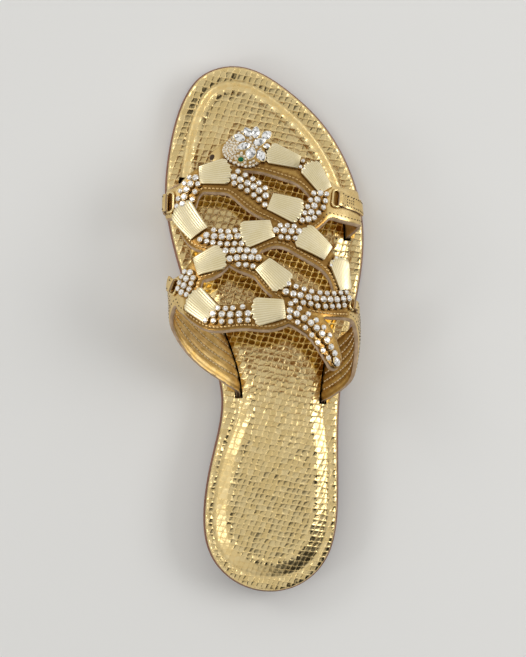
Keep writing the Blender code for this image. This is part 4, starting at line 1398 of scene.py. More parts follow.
def bed_rings():
    """Rings of the footbed from its underside to the pad's middle, their reach and their slots."""
    beside_slot = slot_mask(SOLE_ANGLES)
    out = edge_point(SOLE_ANGLES) - inset_point(SOLE_ANGLES, 1.0)
    share = (1 + np.cos(SOLE_ANGLES)) / 2
    heel_sides = unit((0.33 - share) / 0.06) * out[:, 0] ** 2
    toe_end = unit((share - 0.75) / 0.07)
    rings, reaches, slotted = [], [], []
    for number, inset in enumerate(BORDER_INSETS + PAD_INSETS):
        at_heel = np.interp(inset, *HEEL_ROLL) - inset
        at_toe = np.interp(inset, *TOE_ROLL) - inset
        reach = inset + heel_sides * at_heel + toe_end * at_toe
        height = BED_CURVE(np.minimum(reach, PAD_REACH))[:, 0]
        if number < len(SIDE_HEIGHTS):
            height = np.full(SOLE_POINTS, SIDE_HEIGHTS[number])
        in_slot = beside_slot & (number >= len(BORDER_INSETS)) & (inset <= SLOT_MOUTH[1])
        rings.append(sole_ring(inset, np.where(in_slot, BORDER_TOP - SLOT_DEPTH, height)))
        reaches.append(reach)
        slotted.append(in_slot)
    rim = rings[-1][:, :2]
    medial, lateral = side_table(PAD_REACH)
    axis_y = rim[:, 1] * PAD_AXIS
    axis_x = sum(np.interp(axis_y, side[:, 1], side[:, 0]) for side in (medial, lateral)) / 2
    axis = np.column_stack([axis_x, axis_y])
    for share in np.linspace(0, 0.985, PAD_STEPS)[1:]:
        flat = rim + (axis - rim) * share
        crown = PAD_HEIGHT + PAD_CROWN * math.sin(share * math.pi / 2)
        rings.append(np.column_stack([flat, rise(flat[:, 1]) + crown]))
        reaches.append(np.full(SOLE_POINTS, PAD_REACH + 1))
        slotted.append(np.zeros(SOLE_POINTS, bool))
    return rings, np.concatenate(reaches), np.concatenate(slotted)


def lay_scales(made, points, faces, reach):
    """Gives every corner of the footbed its scale number; the border's scales are finer."""
    corners = np.array([face if len(face) == 4 else [*face, face[0]] for face in faces])
    on_edge = (reach[corners].max(1) < BORDER_END + 0.3)[:, None]
    down = np.maximum(rise(points[:, 1]) + 6.9 - points[:, 2], 0)
    starts = np.zeros(len(faces), int)
    made.data.polygons.foreach_get("loop_start", starts)
    flat_uv = np.zeros((len(made.data.loops), 2))
    for axis, number in enumerate(pad_lattice(points)):
        finer = number * BORDER_FINENESS + down * 0.3
        numbers = np.where(on_edge, finer[corners], number[corners])
        for corner in range(4):
            has = np.array([len(face) > corner for face in faces])
            flat_uv[starts[has] + corner, axis] = numbers[has, corner]
    layer = made.data.uv_layers.new(name="scales")
    layer.data.foreach_set("uv", flat_uv.reshape(-1).astype(np.float32))


def footbed():
    """Foil-covered footbed: scaled border, four slots, smooth roll, scaled pad."""
    rings, reach, slotted = bed_rings()
    faces = ring_faces(len(rings), SOLE_POINTS)
    faces += lens_cap((len(rings) - 1) * SOLE_POINTS, SOLE_POINTS)
    faces += [face[::-1] for face in lens_cap(0, SOLE_POINTS)]
    points = np.concatenate(rings)
    made = raw_object("footbed_dressed", points, faces, [FOIL], crease=50.0)

    along = points[:, 1] / LENGTH + 0.5
    crest = unit((reach - 12.7) / 0.8)
    on_border = (reach < BORDER_END) * 1.0
    waist = unit((0.74 - along) / 0.05) * unit((along - 0.28) / 0.05)
    outer_heel = unit((0.34 - along) / 0.05) * unit((points[:, 0] - 4) / 8)
    slope_scales = np.maximum(np.maximum(waist * 0.70, outer_heel * 0.45), 0.22)
    on_slope = unit((reach - BORDER_END) / 0.5) * slope_scales
    strength = np.interp(along, (0.15, 0.40, 0.60, 0.80), (0.58, 0.74, 0.66, 0.58))
    strength += 0.5 * np.exp(-(((reach - 13.4) / 0.8) ** 2))
    # shade is the painted reflection and painted shade behind the straps; trench paints the slots near
    # black, as painted shade
    add_columns(
        made,
        embossed=np.maximum(np.maximum(crest * strength, on_border * 0.78), on_slope),
        border=on_border,
        shade=np.where(reach > SLOPE_START, strap_shade(points), 0.0),
        trench=slotted * 1.0,
    )
    lay_scales(made, points, faces, reach)
    dress(made, "footbed_foil", "footbed")


# ---------------------------------------------------------------- upper
def strap_line(rows, pieces=4):
    """Points and half widths along one strap."""
    table = np.array(rows, float)
    crossing = np.abs(table[:, 0]) < CROSSING_END
    under_head = rows is STRAPS["head to lateral turn"]
    table[:, 1] -= crossing * (HEAD_STRAP_SHIFT if under_head else FRONT_TRIM) / LENGTH
    table[:, 2] -= crossing * (0.0 if under_head else 0.7 * FRONT_TRIM)
    sample = sampled(table, pieces * (len(rows) - 1) + 1)
    return on_last(sample[:, :2]), sample[:, 2]


STRAP_LINES = {name: strap_line(rows) for name, rows in STRAPS.items()}


def nearest_on_strap(points, name):
    """Distance from one strap's middle line, its half width there, and its direction."""
    line, half_width = STRAP_LINES[name]
    start = line[:-1]
    run = line[1:] - start
    from_start = points[:, None] - start
    share = unit((from_start * run).sum(2) / (run * run).sum(1))
    away = from_start - share[..., None] * run
    gap = np.linalg.norm(away, axis=2)
    width = half_width[:-1] + share * np.diff(half_width)
    best = (gap - width).argmin(1)
    rows = np.arange(len(points))
    return gap[rows, best], width[rows, best], run[best], away[rows, best]


def outside_upper(places):
    """How far places lie outside the joined straps, with rounded crotches."""
    points = on_last(places)
    total = None
    for name in STRAPS:
        gap, width, _, _ = nearest_on_strap(points, name)
        gap = gap - width
        if total is None:
            total = gap
            continue
        share = unit(0.5 + 0.5 * (gap - total) / STRAP_FILLET)
        total = gap * (1 - share) + total * share - STRAP_FILLET * share * (1 - share)
    return total


def crossings(inside, outside):
    """Where the straps' edge crosses the lines from inside places to outside ones."""
    near, far = np.array(inside, float), np.array(outside, float)
    for _ in range(8):
        middle = (near + far) / 2
        within = (outside_upper(middle) < 0)[:, None]
        near = np.where(within, middle, near)
        far = np.where(within, far, middle)
    return (near + far) / 2


def fine_grid():
    """A grid of places over the whole last, and how far each lies outside the straps."""
    around = np.linspace(-1, 1, PATTERN_ROUND + 1)
    along = np.linspace(*PATTERN_SPAN, PATTERN_ALONG + 1)
    places = np.stack(np.meshgrid(around, along, indexing="ij"), axis=2)
    value = outside_upper(places.reshape(-1, 2)).reshape(places.shape[:2])
    return places, value


def shifted(rows, step):
    """The grid's rows moved so that each spot holds its neighbour's value."""
    return np.roll(rows, (-step[0], -step[1]), axis=(0, 1))


def snap_to_edge(places, value, near=0.30):
    """Moves grid corners that lie close to a strap's edge onto it, which leaves no slivers."""
    best = np.full(value.shape, near)
    target = places.copy()
    for step in ((1, 0), (-1, 0), (0, 1), (0, -1)):
        other = shifted(value, step)
        with np.errstate(divide="ignore", invalid="ignore"):
            share = value / (value - other)
        usable = (value * other < 0) & (share < best)
        if step[0]:
            usable[0] = usable[-1] = False
        else:
            usable[:, 0] = usable[:, -1] = False
        best[usable] = share[usable]
        target[usable] = shifted(places, step)[usable]
    moved = best < near
    here, there = places[moved], target[moved]
    inside = (value[moved] < 0)[:, None]
    places[moved] = crossings(np.where(inside, here, there), np.where(inside, there, here))
    value[moved] = 0.0


def cell_sides(i, j):
    """The four sides of a grid cell, from corner to corner."""
    return around_loop([(i, j), (i + 1, j), (i + 1, j + 1), (i, j + 1)])


def trimmed_pattern(places, value):
    """The straps' flat pattern: grid cells, cut along the straps' edges."""
    points, index, waiting = [], {}, []

    def corner(key, place):
        if key not in index:
            index[key] = len(points)
            points.append(place)
        return index[key]

    pairs = np.minimum(value[:-1], value[1:])
    faces = []
    for i, j in np.argwhere(np.minimum(pairs[:, :-1], pairs[:, 1:]) < 0).tolist():
        face = []
        for a, b in cell_sides(i, j):
            if value[a] <= 0:
                face.append(corner(a, places[a]))
            if value[a] * value[b] < 0:
                key = (min(a, b), max(a, b))
                if key not in index:
                    low, high = (a, b) if value[a] < 0 else (b, a)
                    waiting.append((corner(key, places[a]), places[low], places[high]))
                face.append(index[key])
        if len(face) > 2:
            faces.append(face)
    points = np.array(points)
    rows, inside, outside = zip(*waiting)
    points[list(rows)] = crossings(inside, outside)
    return points, faces


def crease_lift(points):
    """Soft troughs pressed along the creases, with a low ridge on each side."""
    lift = np.zeros(len(points))
    for r0, a0, r1, a1, depth, half in CREASES:
        start, end = on_last([(r0, a0), (r1, a1)])
        run = end - start
        share = unit(((points - start) @ run) / (run @ run))
        away = np.linalg.norm(points - start - share[:, None] * run, axis=1) / half
        fade = np.sin(np.clip(share, 0.04, 0.96) * math.pi) ** 0.7
        lift += depth * fade * (0.45 * np.exp(-((away - 1.9) ** 2)) - np.exp(-(away**2)))
    return lift


def outward_edge(places):
    """Directions on the last that point straight out of the straps' edge."""

    def slope(step):
        return (outside_upper(places + step) - outside_upper(places - step)) / (2 * EDGE_STEP)

    by_round, by_along = tangents(places)
    slope_round = slope(np.array([EDGE_STEP, 0]))
    slope_along = slope(np.array([0, EDGE_STEP]))
    rr = (by_round**2).sum(1)
    aa = (by_along**2).sum(1)
    ra = (by_round * by_along).sum(1)
    fixed = rr * aa - ra**2
    first = (aa * slope_round - ra * slope_along) / fixed
    second = (rr * slope_along - ra * slope_round) / fixed
    out = by_round * first[:, None] + by_along * second[:, None]
    return out / np.maximum(np.linalg.norm(out, axis=1), 1e-9)[:, None]


def quarter_rows(places, points):
    """Across the quarters' width, from -1 to 1; far outside them it is 9."""
    up = normals(places)
    rows = np.full(len(points), 9.0)
    for name, (start, _) in QUARTERS.items():
        gap, width, run, away = nearest_on_strap(points, name)
        side = np.sign((np.cross(up, run) * away).sum(1))
        mine = (places[:, 0] / start > 1) & (places[:, 1] < QUARTER_FRONT) & (gap < width + 0.5)
        rows = np.where(mine, side * gap / width, rows)
    return rows


def outside_box(line, places, start, end, half_width):
    """How far places lie outside a tapering box drawn along a line on the last."""
    run, across = line.measure(places)
    half = half_width[0] + (half_width[1] - half_width[0]) * unit(run / line.length)
    return np.maximum(np.abs(across) - half, np.maximum(start - run, run - end))


def leather_shade(places, points, depth):
    """How dark the painted shade makes the leather: amber on the crossings, brown by the welt, round the
    ornament and inside the loops.
    """
    around, along = places.T
    front_limit = np.where(around > 0, LATERAL_AMBER_END, MEDIAL_AMBER_END)
    limit = np.where(along > FRONT_STRAPS, front_limit, CROSSING_END)
    crossing = unit((limit + 0.015 - np.abs(around)) / 0.03)
    rearward = unit(0.5 - outward_edge(places)[:, 1])
    channel = unit((WELT_CHANNEL - np.abs(depth - WELT_INSET)) / 0.35) * crossing * rearward
    stone_places, radii, _ = all_stones()
    gap = (np.linalg.norm(points[:, None] - on_last(stone_places), axis=2) - radii).min(1)
    for line, wide, narrow in FAN_LINES:
        box = outside_box(line, places, -1.0, line.length, (wide / 2, narrow / 2))
        gap = np.minimum(gap, box)
    reach = 0.9 + (ORNAMENT_SHADE - 0.9) * crossing
    beside = unit((reach - gap) / reach * 1.6)
    for *place, turned, length, deep, _ in LOOPS.values():
        line = loop_line(*place, turned)
        inner = outside_box(line, places, -deep / 2, deep / 2, (length / 2, length / 2))
        beside = np.maximum(beside, unit(-inner / 0.8))
    tip = unit((-0.150 - around) / 0.02) * (along > 0.80)
    return np.maximum(np.maximum(channel, crossing * 0.5), beside) * (1 - tip)


def upper(places, value):
    """The leather straps: grain side, lining, and rounded cut edges between them."""
    flat, faces = trimmed_pattern(places, value)
    count = len(flat)
    depth = -outside_upper(flat)
    base = on_last(flat)
    up = normals(flat)
    crease = crease_lift(base)
    soft = EDGE_SOFTENING * np.exp(-np.maximum(depth, 0) / 0.7)
    rows = quarter_rows(flat, base)
    on_quarter = np.abs(rows) < 8
    waves = CORD_DEPTH * np.abs(np.sin(rows * CORD_WAVES * math.pi))
    cords = np.where(np.abs(rows) < 0.95, waves, 0.0)
    fade = unit(depth - 0.5)
    outer = base + up * (crease - soft)[:, None]
    inner = base + up * (crease - LEATHER + soft * 0.6 - cords * fade)[:, None]
    edges = dict.fromkeys(edge for face in faces for edge in around_loop(face))
    border = [(a, b) for a, b in edges if (b, a) not in edges]
    rim = sorted({a for edge in border for a in edge})
    rim_index = {a: i for i, a in enumerate(rim)}
    rim_places = flat[rim]
    out = outward_edge(rim_places)
    out[np.abs(rim_places[:, 0]) > 0.995] = 0.0
    rearward = unit(-out[:, 1:2]) * (np.abs(rim_places[:, :1]) < 0.60)
    stack = [outer, inner]
    for down, reach, flare in CUT_EDGE_LAYERS:
        between = outer[rim] + (inner[rim] - outer[rim]) * down
        stack.append(between + out * (reach + rearward * flare * CUT_EDGE_FLARE))
    inner[rim] += out * rearward * CUT_EDGE_FLARE
    layers = len(CUT_EDGE_LAYERS)

    def column(a):
        """The points of one corner of the edge, from the grain side to the lining."""
        return [a, *(2 * count + k * len(rim) + rim_index[a] for k in range(layers)), a + count]

    linings = [[a + count for a in reversed(face)] for face in faces]
    cut = []
    for a, b in border:
        near, far = column(a), column(b)
        cut += [(far[k], near[k], near[k + 1], far[k + 1]) for k in range(layers + 1)]
    kinds = [0] * len(faces) + [1] * len(linings) + [2] * len(cut)
    finishes = [GOLD_LEATHER, LINING, CUT_EDGE]
    all_faces = faces + linings + cut
    made = raw_object("upper_dressed", np.concatenate(stack), all_faces, finishes, kinds, crease=60.0)
    rim_zero = np.zeros(len(rim) * layers)
    # Painted shade for the leather, kept in the sunk column
    sunk = leather_shade(flat, base, depth)
    # Painted shade on the cut edge, darker low down near the slots
    root = unit((rise(base[rim, 1]) + 12.5 - base[rim, 2]) / 4.0)
    add_columns(
        made,
        sunk=np.concatenate([sunk, sunk, np.tile(root, layers)]),
        row=np.concatenate([rows, rows, rim_zero]),
        cords=np.concatenate([on_quarter, on_quarter, rim_zero]),
    )
    dress(made, "gold_leather", "upper")


def level_lines(places, value, level):
    """Chains of places where the distance to the straps' edge has one value."""
    above = value - level
    links, spots = {}, {}
    under = (above < 0).astype(int)
    pairs = under[:-1] + under[1:]
    total = pairs[:, :-1] + pairs[:, 1:]
    for i, j in np.argwhere((total > 0) & (total < 4)).tolist():
        found = []
        for a, b in cell_sides(i, j):
            if under[a] != under[b]:
                key = (min(a, b), max(a, b))
                share = above[a] / (above[a] - above[b])
                spots[key] = places[a] + (places[b] - places[a]) * share
                found.append(key)
        for one, two in zip(found[::2], found[1::2]):
            links.setdefault(one, []).append(two)
            links.setdefault(two, []).append(one)
    chains = []
    while links:
        ends = [key for key, near in links.items() if len(near) == 1]
        key = ends[0] if ends else next(iter(links))
        chain = [key]
        while True:
            near = links.get(key, [])
            following = next((other for other in near if other in links), None)
            for other in near:
                if other in links and key in links[other]:
                    links[other].remove(key)
            links.pop(key, None)
            if following is None:
                break
            chain.append(following)
            key = following
        if len(chain) > 6:
            chains.append(np.array([spots[k] for k in chain]))
    return chains


def stitches_along(chains, pitch, wanted):
    """Middles and directions of the wanted stitches, evenly spaced along chains of places."""
    middles, runs = [], []
    for chain in chains:
        lengths = lengths_along(on_last(chain))
        keep = np.concatenate([[True], np.diff(lengths) > 1e-6])
        lengths, columns = lengths[keep], chain[keep].T
        count = int(lengths[-1] / pitch)
        if count < 3:
            continue
        at = (np.arange(count) + 0.5) * pitch
        middle, ahead, behind = (
            np.column_stack([np.interp(at + step, lengths, column) for column in columns])
            for step in (0.0, 0.3, -0.3)
        )
        shown = wanted(middle)
        middles.append(middle[shown])
        runs.append((on_last(ahead) - on_last(behind))[shown])
    return np.concatenate(middles), np.concatenate(runs)


def edge_stitches(places, value, stitch):
    """A beaded welt behind each crossing strap, and pinholes along the side straps."""

    def crosses(rows):
        front_lateral = (rows[:, 1] > FRONT_STRAPS) & (rows[:, 0] > 0)
        return np.abs(rows[:, 0]) < np.where(front_lateral, LATERAL_WELT_END, CROSSING_END)

    def at_back(rows):
        return outward_edge(rows)[:, 1] < 0.30

    def behind_crossing(rows):
        from_hole = np.linalg.norm(on_last(rows) - on_last(TIP_HOLE), axis=1)
        return crosses(rows) & at_back(rows) & (from_hole > 3.0)

    def on_sides(rows):
        return ~crosses(rows) & at_back(rows) & (np.abs(rows[:, 0]) < SLOT_TOP - 0.05)

    chains = level_lines(places, value, -WELT_INSET)
    middles, runs = stitches_along(chains, WELT_PITCH, behind_crossing)
    lift = crease_lift(on_last(middles)) + 0.05
    dress(scatter("beaded_welts", stitch, middles, lift, runs, WELT_BEAD, WELT_GOLD), "gold_leather")
    chains = level_lines(places, value, -PINHOLE_INSET)
    middles, runs = stitches_along(chains, PINHOLE_PITCH, on_sides)
    lift = crease_lift(on_last(middles))
    # Pinholes: dark beads, painted shade for the holes
    dress(scatter("strap_pinholes", stitch, middles, lift, runs, PINHOLE, PIERCED), "gold_leather")


def quarter_stitches(stitch):
    """Rows of stitches along the quarters, in the valleys between the cords."""

    def deep(rows):
        return outside_upper(rows) < -1.8

    chains = []
    for name, (start, end) in QUARTERS.items():
        sample = sampled(STRAPS[name], 200)
        middle = sample[:, :2]
        by_round, by_along = tangents(middle)
        across = np.cross(np.cross(by_round, by_along), np.gradient(on_last(middle), axis=0))
        across /= np.linalg.norm(across, axis=1)[:, None]
        steps = np.array([as_places(*rows) for rows in zip(by_round, by_along, across)])
        for valley in CORD_VALLEYS:
            row = middle + steps * valley * sample[:, 2:]
            chains.append(row[(row[:, 0] / start > 1) & (row[:, 0] / end < 1)])
    middles, runs = stitches_along(chains, CORD_STITCH_PITCH, deep)
    crease = crease_lift(on_last(middles))
    lining = crease - LEATHER - 0.10
    inner = scatter("quarter_stitches", stitch, middles, lining, runs, CORD_STITCH, THREAD)
    # Pinholes on the outer face: dark beads, painted shade for the holes
    outer = scatter("quarter_pinholes", stitch, middles, crease, runs, PINHOLE, PIERCED)
    dress(inner, "gold_leather")
    dress(outer, "gold_leather")


# ---------------------------------------------------------------- ornament
def fans():
    """Pleated metal fans: a scalloped wide end, a straight narrow end, fine ridges between."""
    parts = []
    across = np.linspace(-1, 1, 4 * FAN_PLEATS + 1)
    ridge = np.array([0.0, 0.5, 1.0, 0.5] * FAN_PLEATS + [0.0])
    share = (np.linspace(0, 1, 15) ** 1.5)[:, None]
    tooth = (across + 1) / 2 * FAN_TEETH
    zigzag = 1 - 2 * np.abs(tooth - np.floor(tooth) - 0.5)
    bow = FAN_BOW * (1 - across**2) * (1 - share) ** 1.5
    notch = FAN_TOOTH * zigzag * (1 - share) ** 6
    arch = 0.45 * (1 - across**2) + 0.35 * (1 - share)
    edge_drop = 0.30 * (1 - unit(share / 0.06)) + 0.25 * unit((share - 0.94) / 0.06)
    groove = FAN_GROOVE * ridge * (1 - 0.35 * share)
    top_lift = ORNAMENT_LIFT + FAN_THICKNESS + groove + arch - edge_drop
    for line, wide, narrow in FAN_LINES:
        run = line.length * share - bow + FAN_BOW / 2 * (1 - share) - notch
        sideways = across * (wide + (narrow - wide) * share) / 2
        bottom = line.points(run, sideways, ORNAMENT_LIFT)
        parts.append(plate_parts(line.points(run, sideways, top_lift), bottom))
    points, faces = joined(parts)
    made = raw_object("pleated_fans", points, faces, [FAN_PLATE], crease=18.0)
    face_outwards(made)
    add_columns(made, pleat=np.tile((across + 1) / 2 * FAN_PLEATS, len(points) // len(across)))
    dress(made, "satin_fan", *[f"fan_{n}" for n in range(1, len(FANS) + 1)])


def all_stones():
    """Places, radii and directions of the set stones."""
    places, radii, runs = [], [], []
    jitter = np.random.default_rng(7)
    for radius, count, *through in STONE_ROWS:
        row = sampled(through, count)
        places.append(row + jitter.normal(0, 0.0012, row.shape) * (1.0, 0.35))
        radii.append(np.full(count, radius))
        runs.append(np.gradient(on_last(row), axis=0))
    return np.concatenate(places), np.concatenate(radii), np.concatenate(runs)


def spread_stones(places, radii, rounds=40):
    """Moves stones apart until their cups no longer cut into each other."""
    by_round, by_along = tangents(places)
    moved = places.copy()
    for _ in range(rounds):
        points = on_last(moved)
        apart = points[:, None] - points
        distance = np.linalg.norm(apart, axis=2) + np.eye(len(points)) * 99
        need = (radii[:, None] + radii) * 1.03
        push = np.maximum(need - distance, 0) * 0.25
        shove = (apart / distance[..., None] * push[..., None]).sum(1)
        for axis, by in enumerate((by_round, by_along)):
            moved[:, axis] += (shove * by).sum(1) / (by**2).sum(1)
    return moved


def stones():
    """Stones in prong cups on thin dark plates, between the fans; the plates' dark brown is painted shade
    between the stones.
    """
    places, radii, runs = all_stones()
    places = spread_stones(places, radii)
    girdle = ORNAMENT_LIFT + 0.35 + radii * CUP_HEIGHT
    gem = cut_stone_piece()
    cup = cup_piece()
    spin = np.random.default_rng(11).uniform(0, 1, len(places))[:, None] * math.pi
    side = np.cross(normals(places), runs)
    mixed = runs * np.cos(spin) + side * np.sin(spin)
    stretch = np.repeat(radii[:, None], 3, axis=1)
    gems = scatter("set_stones", gem, places, girdle + 0.05, mixed, stretch * 0.97, STONE, crease=5.0)
    cups = scatter("prong_cups", cup, places, girdle, mixed, stretch, CUP_GOLD, crease=35.0)
    dress(gems, "set_stones", *[f"stones_{n}" for n in range(1, 11)])
    dress(cups, "gold_wire")
    # Backing plates: painted shade, dark brown round each cup
    disc = turned_piece("backing", ((1.22, -0.2), (1.25, 0.0), (1.22, 0.2)), 10)
    thin = stretch * (1, 1, 0.6)
    plates = scatter("setting_plates", disc, places, ORNAMENT_LIFT + 0.15, runs, thin, DARK_GOLD_PLATE)
    dress(plates, "gold_wire")


def wire_ring(line, length, depth, corner_points=10, sides=12):
    """Points and faces of a long ring of wire with round ends, lying on the strap."""
    radius = depth / 2 - WIRE
    straight = length / 2 - WIRE - radius
    path = []
    for quarter, side in enumerate((1, 1, -1, -1)):
        for angle in (quarter + np.linspace(0, 1, corner_points)) * math.pi / 2:
            out = math.cos(angle), math.sin(angle)
            path.append((radius * out[0], side * straight + radius * out[1], *out))
    path = np.array(path)
    turn = turns(sides)
    run, across = (path[:, [k]] + WIRE * np.cos(turn) * path[:, [k + 2]] for k in (0, 1))
    points = line.points(run, across, GAP + WIRE + WIRE * np.sin(turn)).reshape(-1, 3)
    return points, np.array(ring_faces(len(path) + 1, sides)) % len(points)


def loop_line(around, along, turned):
    """A line through a loop's middle that runs outwards over the side of the foot."""
    angle = math.radians(turned)
    by_round, by_along = (np.linalg.norm(t[0]) for t in tangents((around, along)))
    outward = math.copysign(LOOP_AIM, around) * math.cos(angle)
    forward = LOOP_AIM * by_round / by_along * math.sin(angle)
    return Line((around, along), (around + outward, along + forward))


def tab_profile(depth, reach, steps=18):
    """Run and underside height of a tab from its fold over the bar to its end."""
    bar = depth / 2 - WIRE
    over = 2 * WIRE + 2 * GAP
    start = bar - WIRE - TAB_OVERHANG
    edge = bar + WIRE + TAB_OVERHANG
    landing = bar + WIRE + TAB_FOLD
    run = np.linspace(start, bar + reach, steps)
    lift = over + (GAP - over) * eased((run - edge) / (landing - edge))
    return run, np.where(run < edge, np.interp(run, (start, edge), (over - 0.25, over)), lift)


def crossed_box(start):
    """Run, across and direction of the holes of a square with a cross, on the long tab."""
    near, far, half = start + 5.0, start + 9.0, 2.0
    holes = []
    for share in np.linspace(0, 1, 4)[:-1]:
        ahead, aside = near + (far - near) * share, 2 * half * share
        holes += [(ahead, aside - half, 1, 1), (ahead, half - aside, 1, -1)]
        holes += [(near, aside - half, 0, 1), (far, half - aside, 0, -1)]
    return holes


def loops_and_tabs(stitch):
    """Metal loops at the turns, each held by a folded leather tab with its own stitching."""
    holes = []

    def pierce(line, run, across, way, height):
        here = line.places(run, across)
        ahead = line.places(run + way[0], across + way[1])
        holes.append((lifted(here, height), normals(here), on_last(ahead) - on_last(here)))

    for name, (*place, turned, length, depth, reach) in LOOPS.items():
        line = loop_line(*place, turned)
        points, faces = wire_ring(line, length, depth)
        ring = raw_object(f"loop_{name}_dressed", points, faces, [BRIGHT_GOLD], crease=80.0)
        face_outwards(ring)
        dress(ring, "gold_wire", f"loop_{name}")
        run, lift = tab_profile(depth, reach)
        across = np.linspace(-0.5, 0.5, 12) * (length - 4 * WIRE)
        edge = np.minimum(np.abs(across - across[0]), np.abs(across - across[-1]))
        soft = 0.25 * np.exp(-edge / 0.5)
        bottom = line.points(run[:, None], across, lift[:, None])
        top = line.points(run[:, None], across, lift[:, None] + TAB_THICKNESS - soft)
        points, faces = plate_parts(top, bottom)
        rim = 2 * (len(run) + len(across) - 2)
        kinds = [0] * (len(faces) - rim) + [1] * rim
        finishes = [GOLD_LEATHER, CUT_EDGE]
        made = raw_object(f"tab_{name}_dressed", points, faces, finishes, kinds, crease=50.0)
        face_outwards(made)
        # The tabs get no painted shade
        made.data.attributes.new("sunk", "FLOAT", "POINT")
        dress(made, "gold_leather", f"tab_{name}")
        stops = np.arange(run[0] + 1.6, run[-1] - 0.8, PINHOLE_PITCH)
        if len(stops) > 1:
            height = np.interp(stops, run, lift) + TAB_THICKNESS
            for at in (across[0] + 1.1, across[-1] - 1.1):
                pierce(line, stops, at, (0.4, 0), height)
        if reach > LONG_TAB:
            for at, aside, *way in crossed_box(run[0]):
                height = np.interp(at, run, lift) + TAB_THICKNESS - 0.02
                pierce(line, at, aside, (0.3 * way[0], 0.3 * way[1]), height)
    points, ups, runs = (np.concatenate(part) for part in zip(*holes))
    # Pinholes on the tabs: dark beads, painted shade for the holes
    made = scatter_at("tab_pinholes", stitch, points, ups, runs, PINHOLE, PIERCED)
    dress(made, "gold_leather")


def head_height(share):
    """Height of the head's face from its rim (1) to its crown (0)."""
    return (HEAD_RIM + HEAD_DOME * (1 - share**2)) * HEAD_FLATNESS


def head_half_width(angle):
    """Half width of the head round its outline, from the back at 0 to the nose at pi."""
    return HEAD_HALF_WIDTH * (1 - HEAD_TAPER * ((1 - np.cos(angle)) / 2) ** 2)


def head_share(line, run, across):
    half = line.length / 2
    width = head_half_width(np.arctan2(across, run - half))
    return np.hypot((run - half) / half, across / width)


def face_lift(line, run, across):
    """Height of the head's face above the last, at millimetres along its line and across it."""
    return ORNAMENT_LIFT + head_height(unit(head_share(line, run, across)))


HEAD_PROFILE = (
    # share of the head's outline, drop below its face
    (1.0, 0.5),
    (0.97, 0.15),
    (0.9, 0.0),
    (0.8, 0.0),
    (0.65, 0.0),
    (0.5, 0.0),
    (0.35, 0.0),
    (0.2, 0.0),
    (0.08, 0.0),
)
PAVE_RINGS = (
    # share of the head's outline, how many stones
    (0.94, 33),
    (0.78, 28),
    (0.62, 22),
    (0.46, 16),
    (0.30, 10),
    (0.12, 4),
)


def head_plate(line):
    """The head's antique gold dome."""
    half = line.length / 2
    angle = turns(HEAD_SIDES)
    out_run = half * np.cos(angle)
    out_across = head_half_width(angle) * np.sin(angle)
    shares, drop = np.array(HEAD_PROFILE).T[:, :, None]
    rings = [line.points(half + out_run * 0.97, out_across * 0.97, ORNAMENT_LIFT)]
    lift = ORNAMENT_LIFT + (head_height(shares) - drop)
    rings += list(line.points(half + out_run * shares, out_across * shares, lift))
    faces = closed_rings(len(rings), HEAD_SIDES)
    made = raw_object("snake_head_plate", np.concatenate(rings), faces, [DARK_GOLD_PLATE], crease=50.0)
    face_outwards(made)
    dress(made, "gold_wire", "snake_head")


def head_petals(line, places, sizes):
    """Long stones in bright seats, spread from one middle like petals."""
    spots = line.measure(places).T
    heights = face_lift(line, *spots.T) + 0.55
    heights = np.where(head_share(line, *spots.T) > 1, ORNAMENT_LIFT + 1.9, heights)
    toward = line.places(*(spots + (spots - line.measure(PETAL_MIDDLE)) * 0.1).T)
    runs = on_last(toward) - on_last(places)
    stretch = np.column_stack([sizes, sizes[:, 1] * 0.9])
    grown = np.column_stack([sizes + 0.28, np.full(len(sizes), 0.8)])
    petal = marquise_piece("petal stone", 0.12)
    gems = scatter("head_petals", petal, places, heights, runs, stretch, LONG_STONE, crease=5.0)
    seats = scatter("head_petal_seats", petal, places, heights - 0.45, runs, grown, BRIGHT_GOLD)
    dress(gems, "set_stones")
    dress(seats, "gold_wire")


def head_pave(line, petal_places, petal_sizes):
    """Tiny stones and grains of gold between the petals and round the eye."""
    half = line.length / 2
    at_run, at_across, radius = EYE
    pave = []
    for share, count in PAVE_RINGS:
        turn = turns(count, 0.5 * (count % 4 == 0))
        run = half + half * np.cos(turn) * share
        across = head_half_width(turn) * np.sin(turn) * share
        clear = np.hypot(run - at_run, across - at_across) > radius + 1.6
        for spot, size in zip(line.measure(petal_places).T, petal_sizes):
            clear &= np.hypot(run - spot[0], across - spot[1]) > sum(size) / 2 + 0.15
        pave.append(np.column_stack([run, across])[clear])
    turn = turns(EYE_STONES)
    pave.append(np.column_stack([np.cos(turn), np.sin(turn)]) * (radius + 0.85) + (at_run, at_across))
    pave = np.concatenate(pave)
    lift = face_lift(line, *pave.T)
    bead = turned_piece("tiny stone", ((1.0, -0.3), (1.0, 0.1), (0.62, 0.42)), 7)
    grain = turned_piece("bead grain", ((0.5, -0.3), (0.5, 0.1), (0.28, 0.38)), 6)
    ahead = (0, 1, 0)
    places = line.places(*pave.T)
    tiny = scatter("head_pave", bead, places, lift + 0.12, ahead, TINY_STONE, TINY_CLEAR, crease=5.0)
    dress(tiny, "set_stones")
    places = line.places(*(pave + 0.55).T)
    beads = scatter("head_grains", grain, places, lift + 0.10, ahead, TINY_STONE * 0.8, BRIGHT_GOLD)
    dress(beads, "gold_wire")


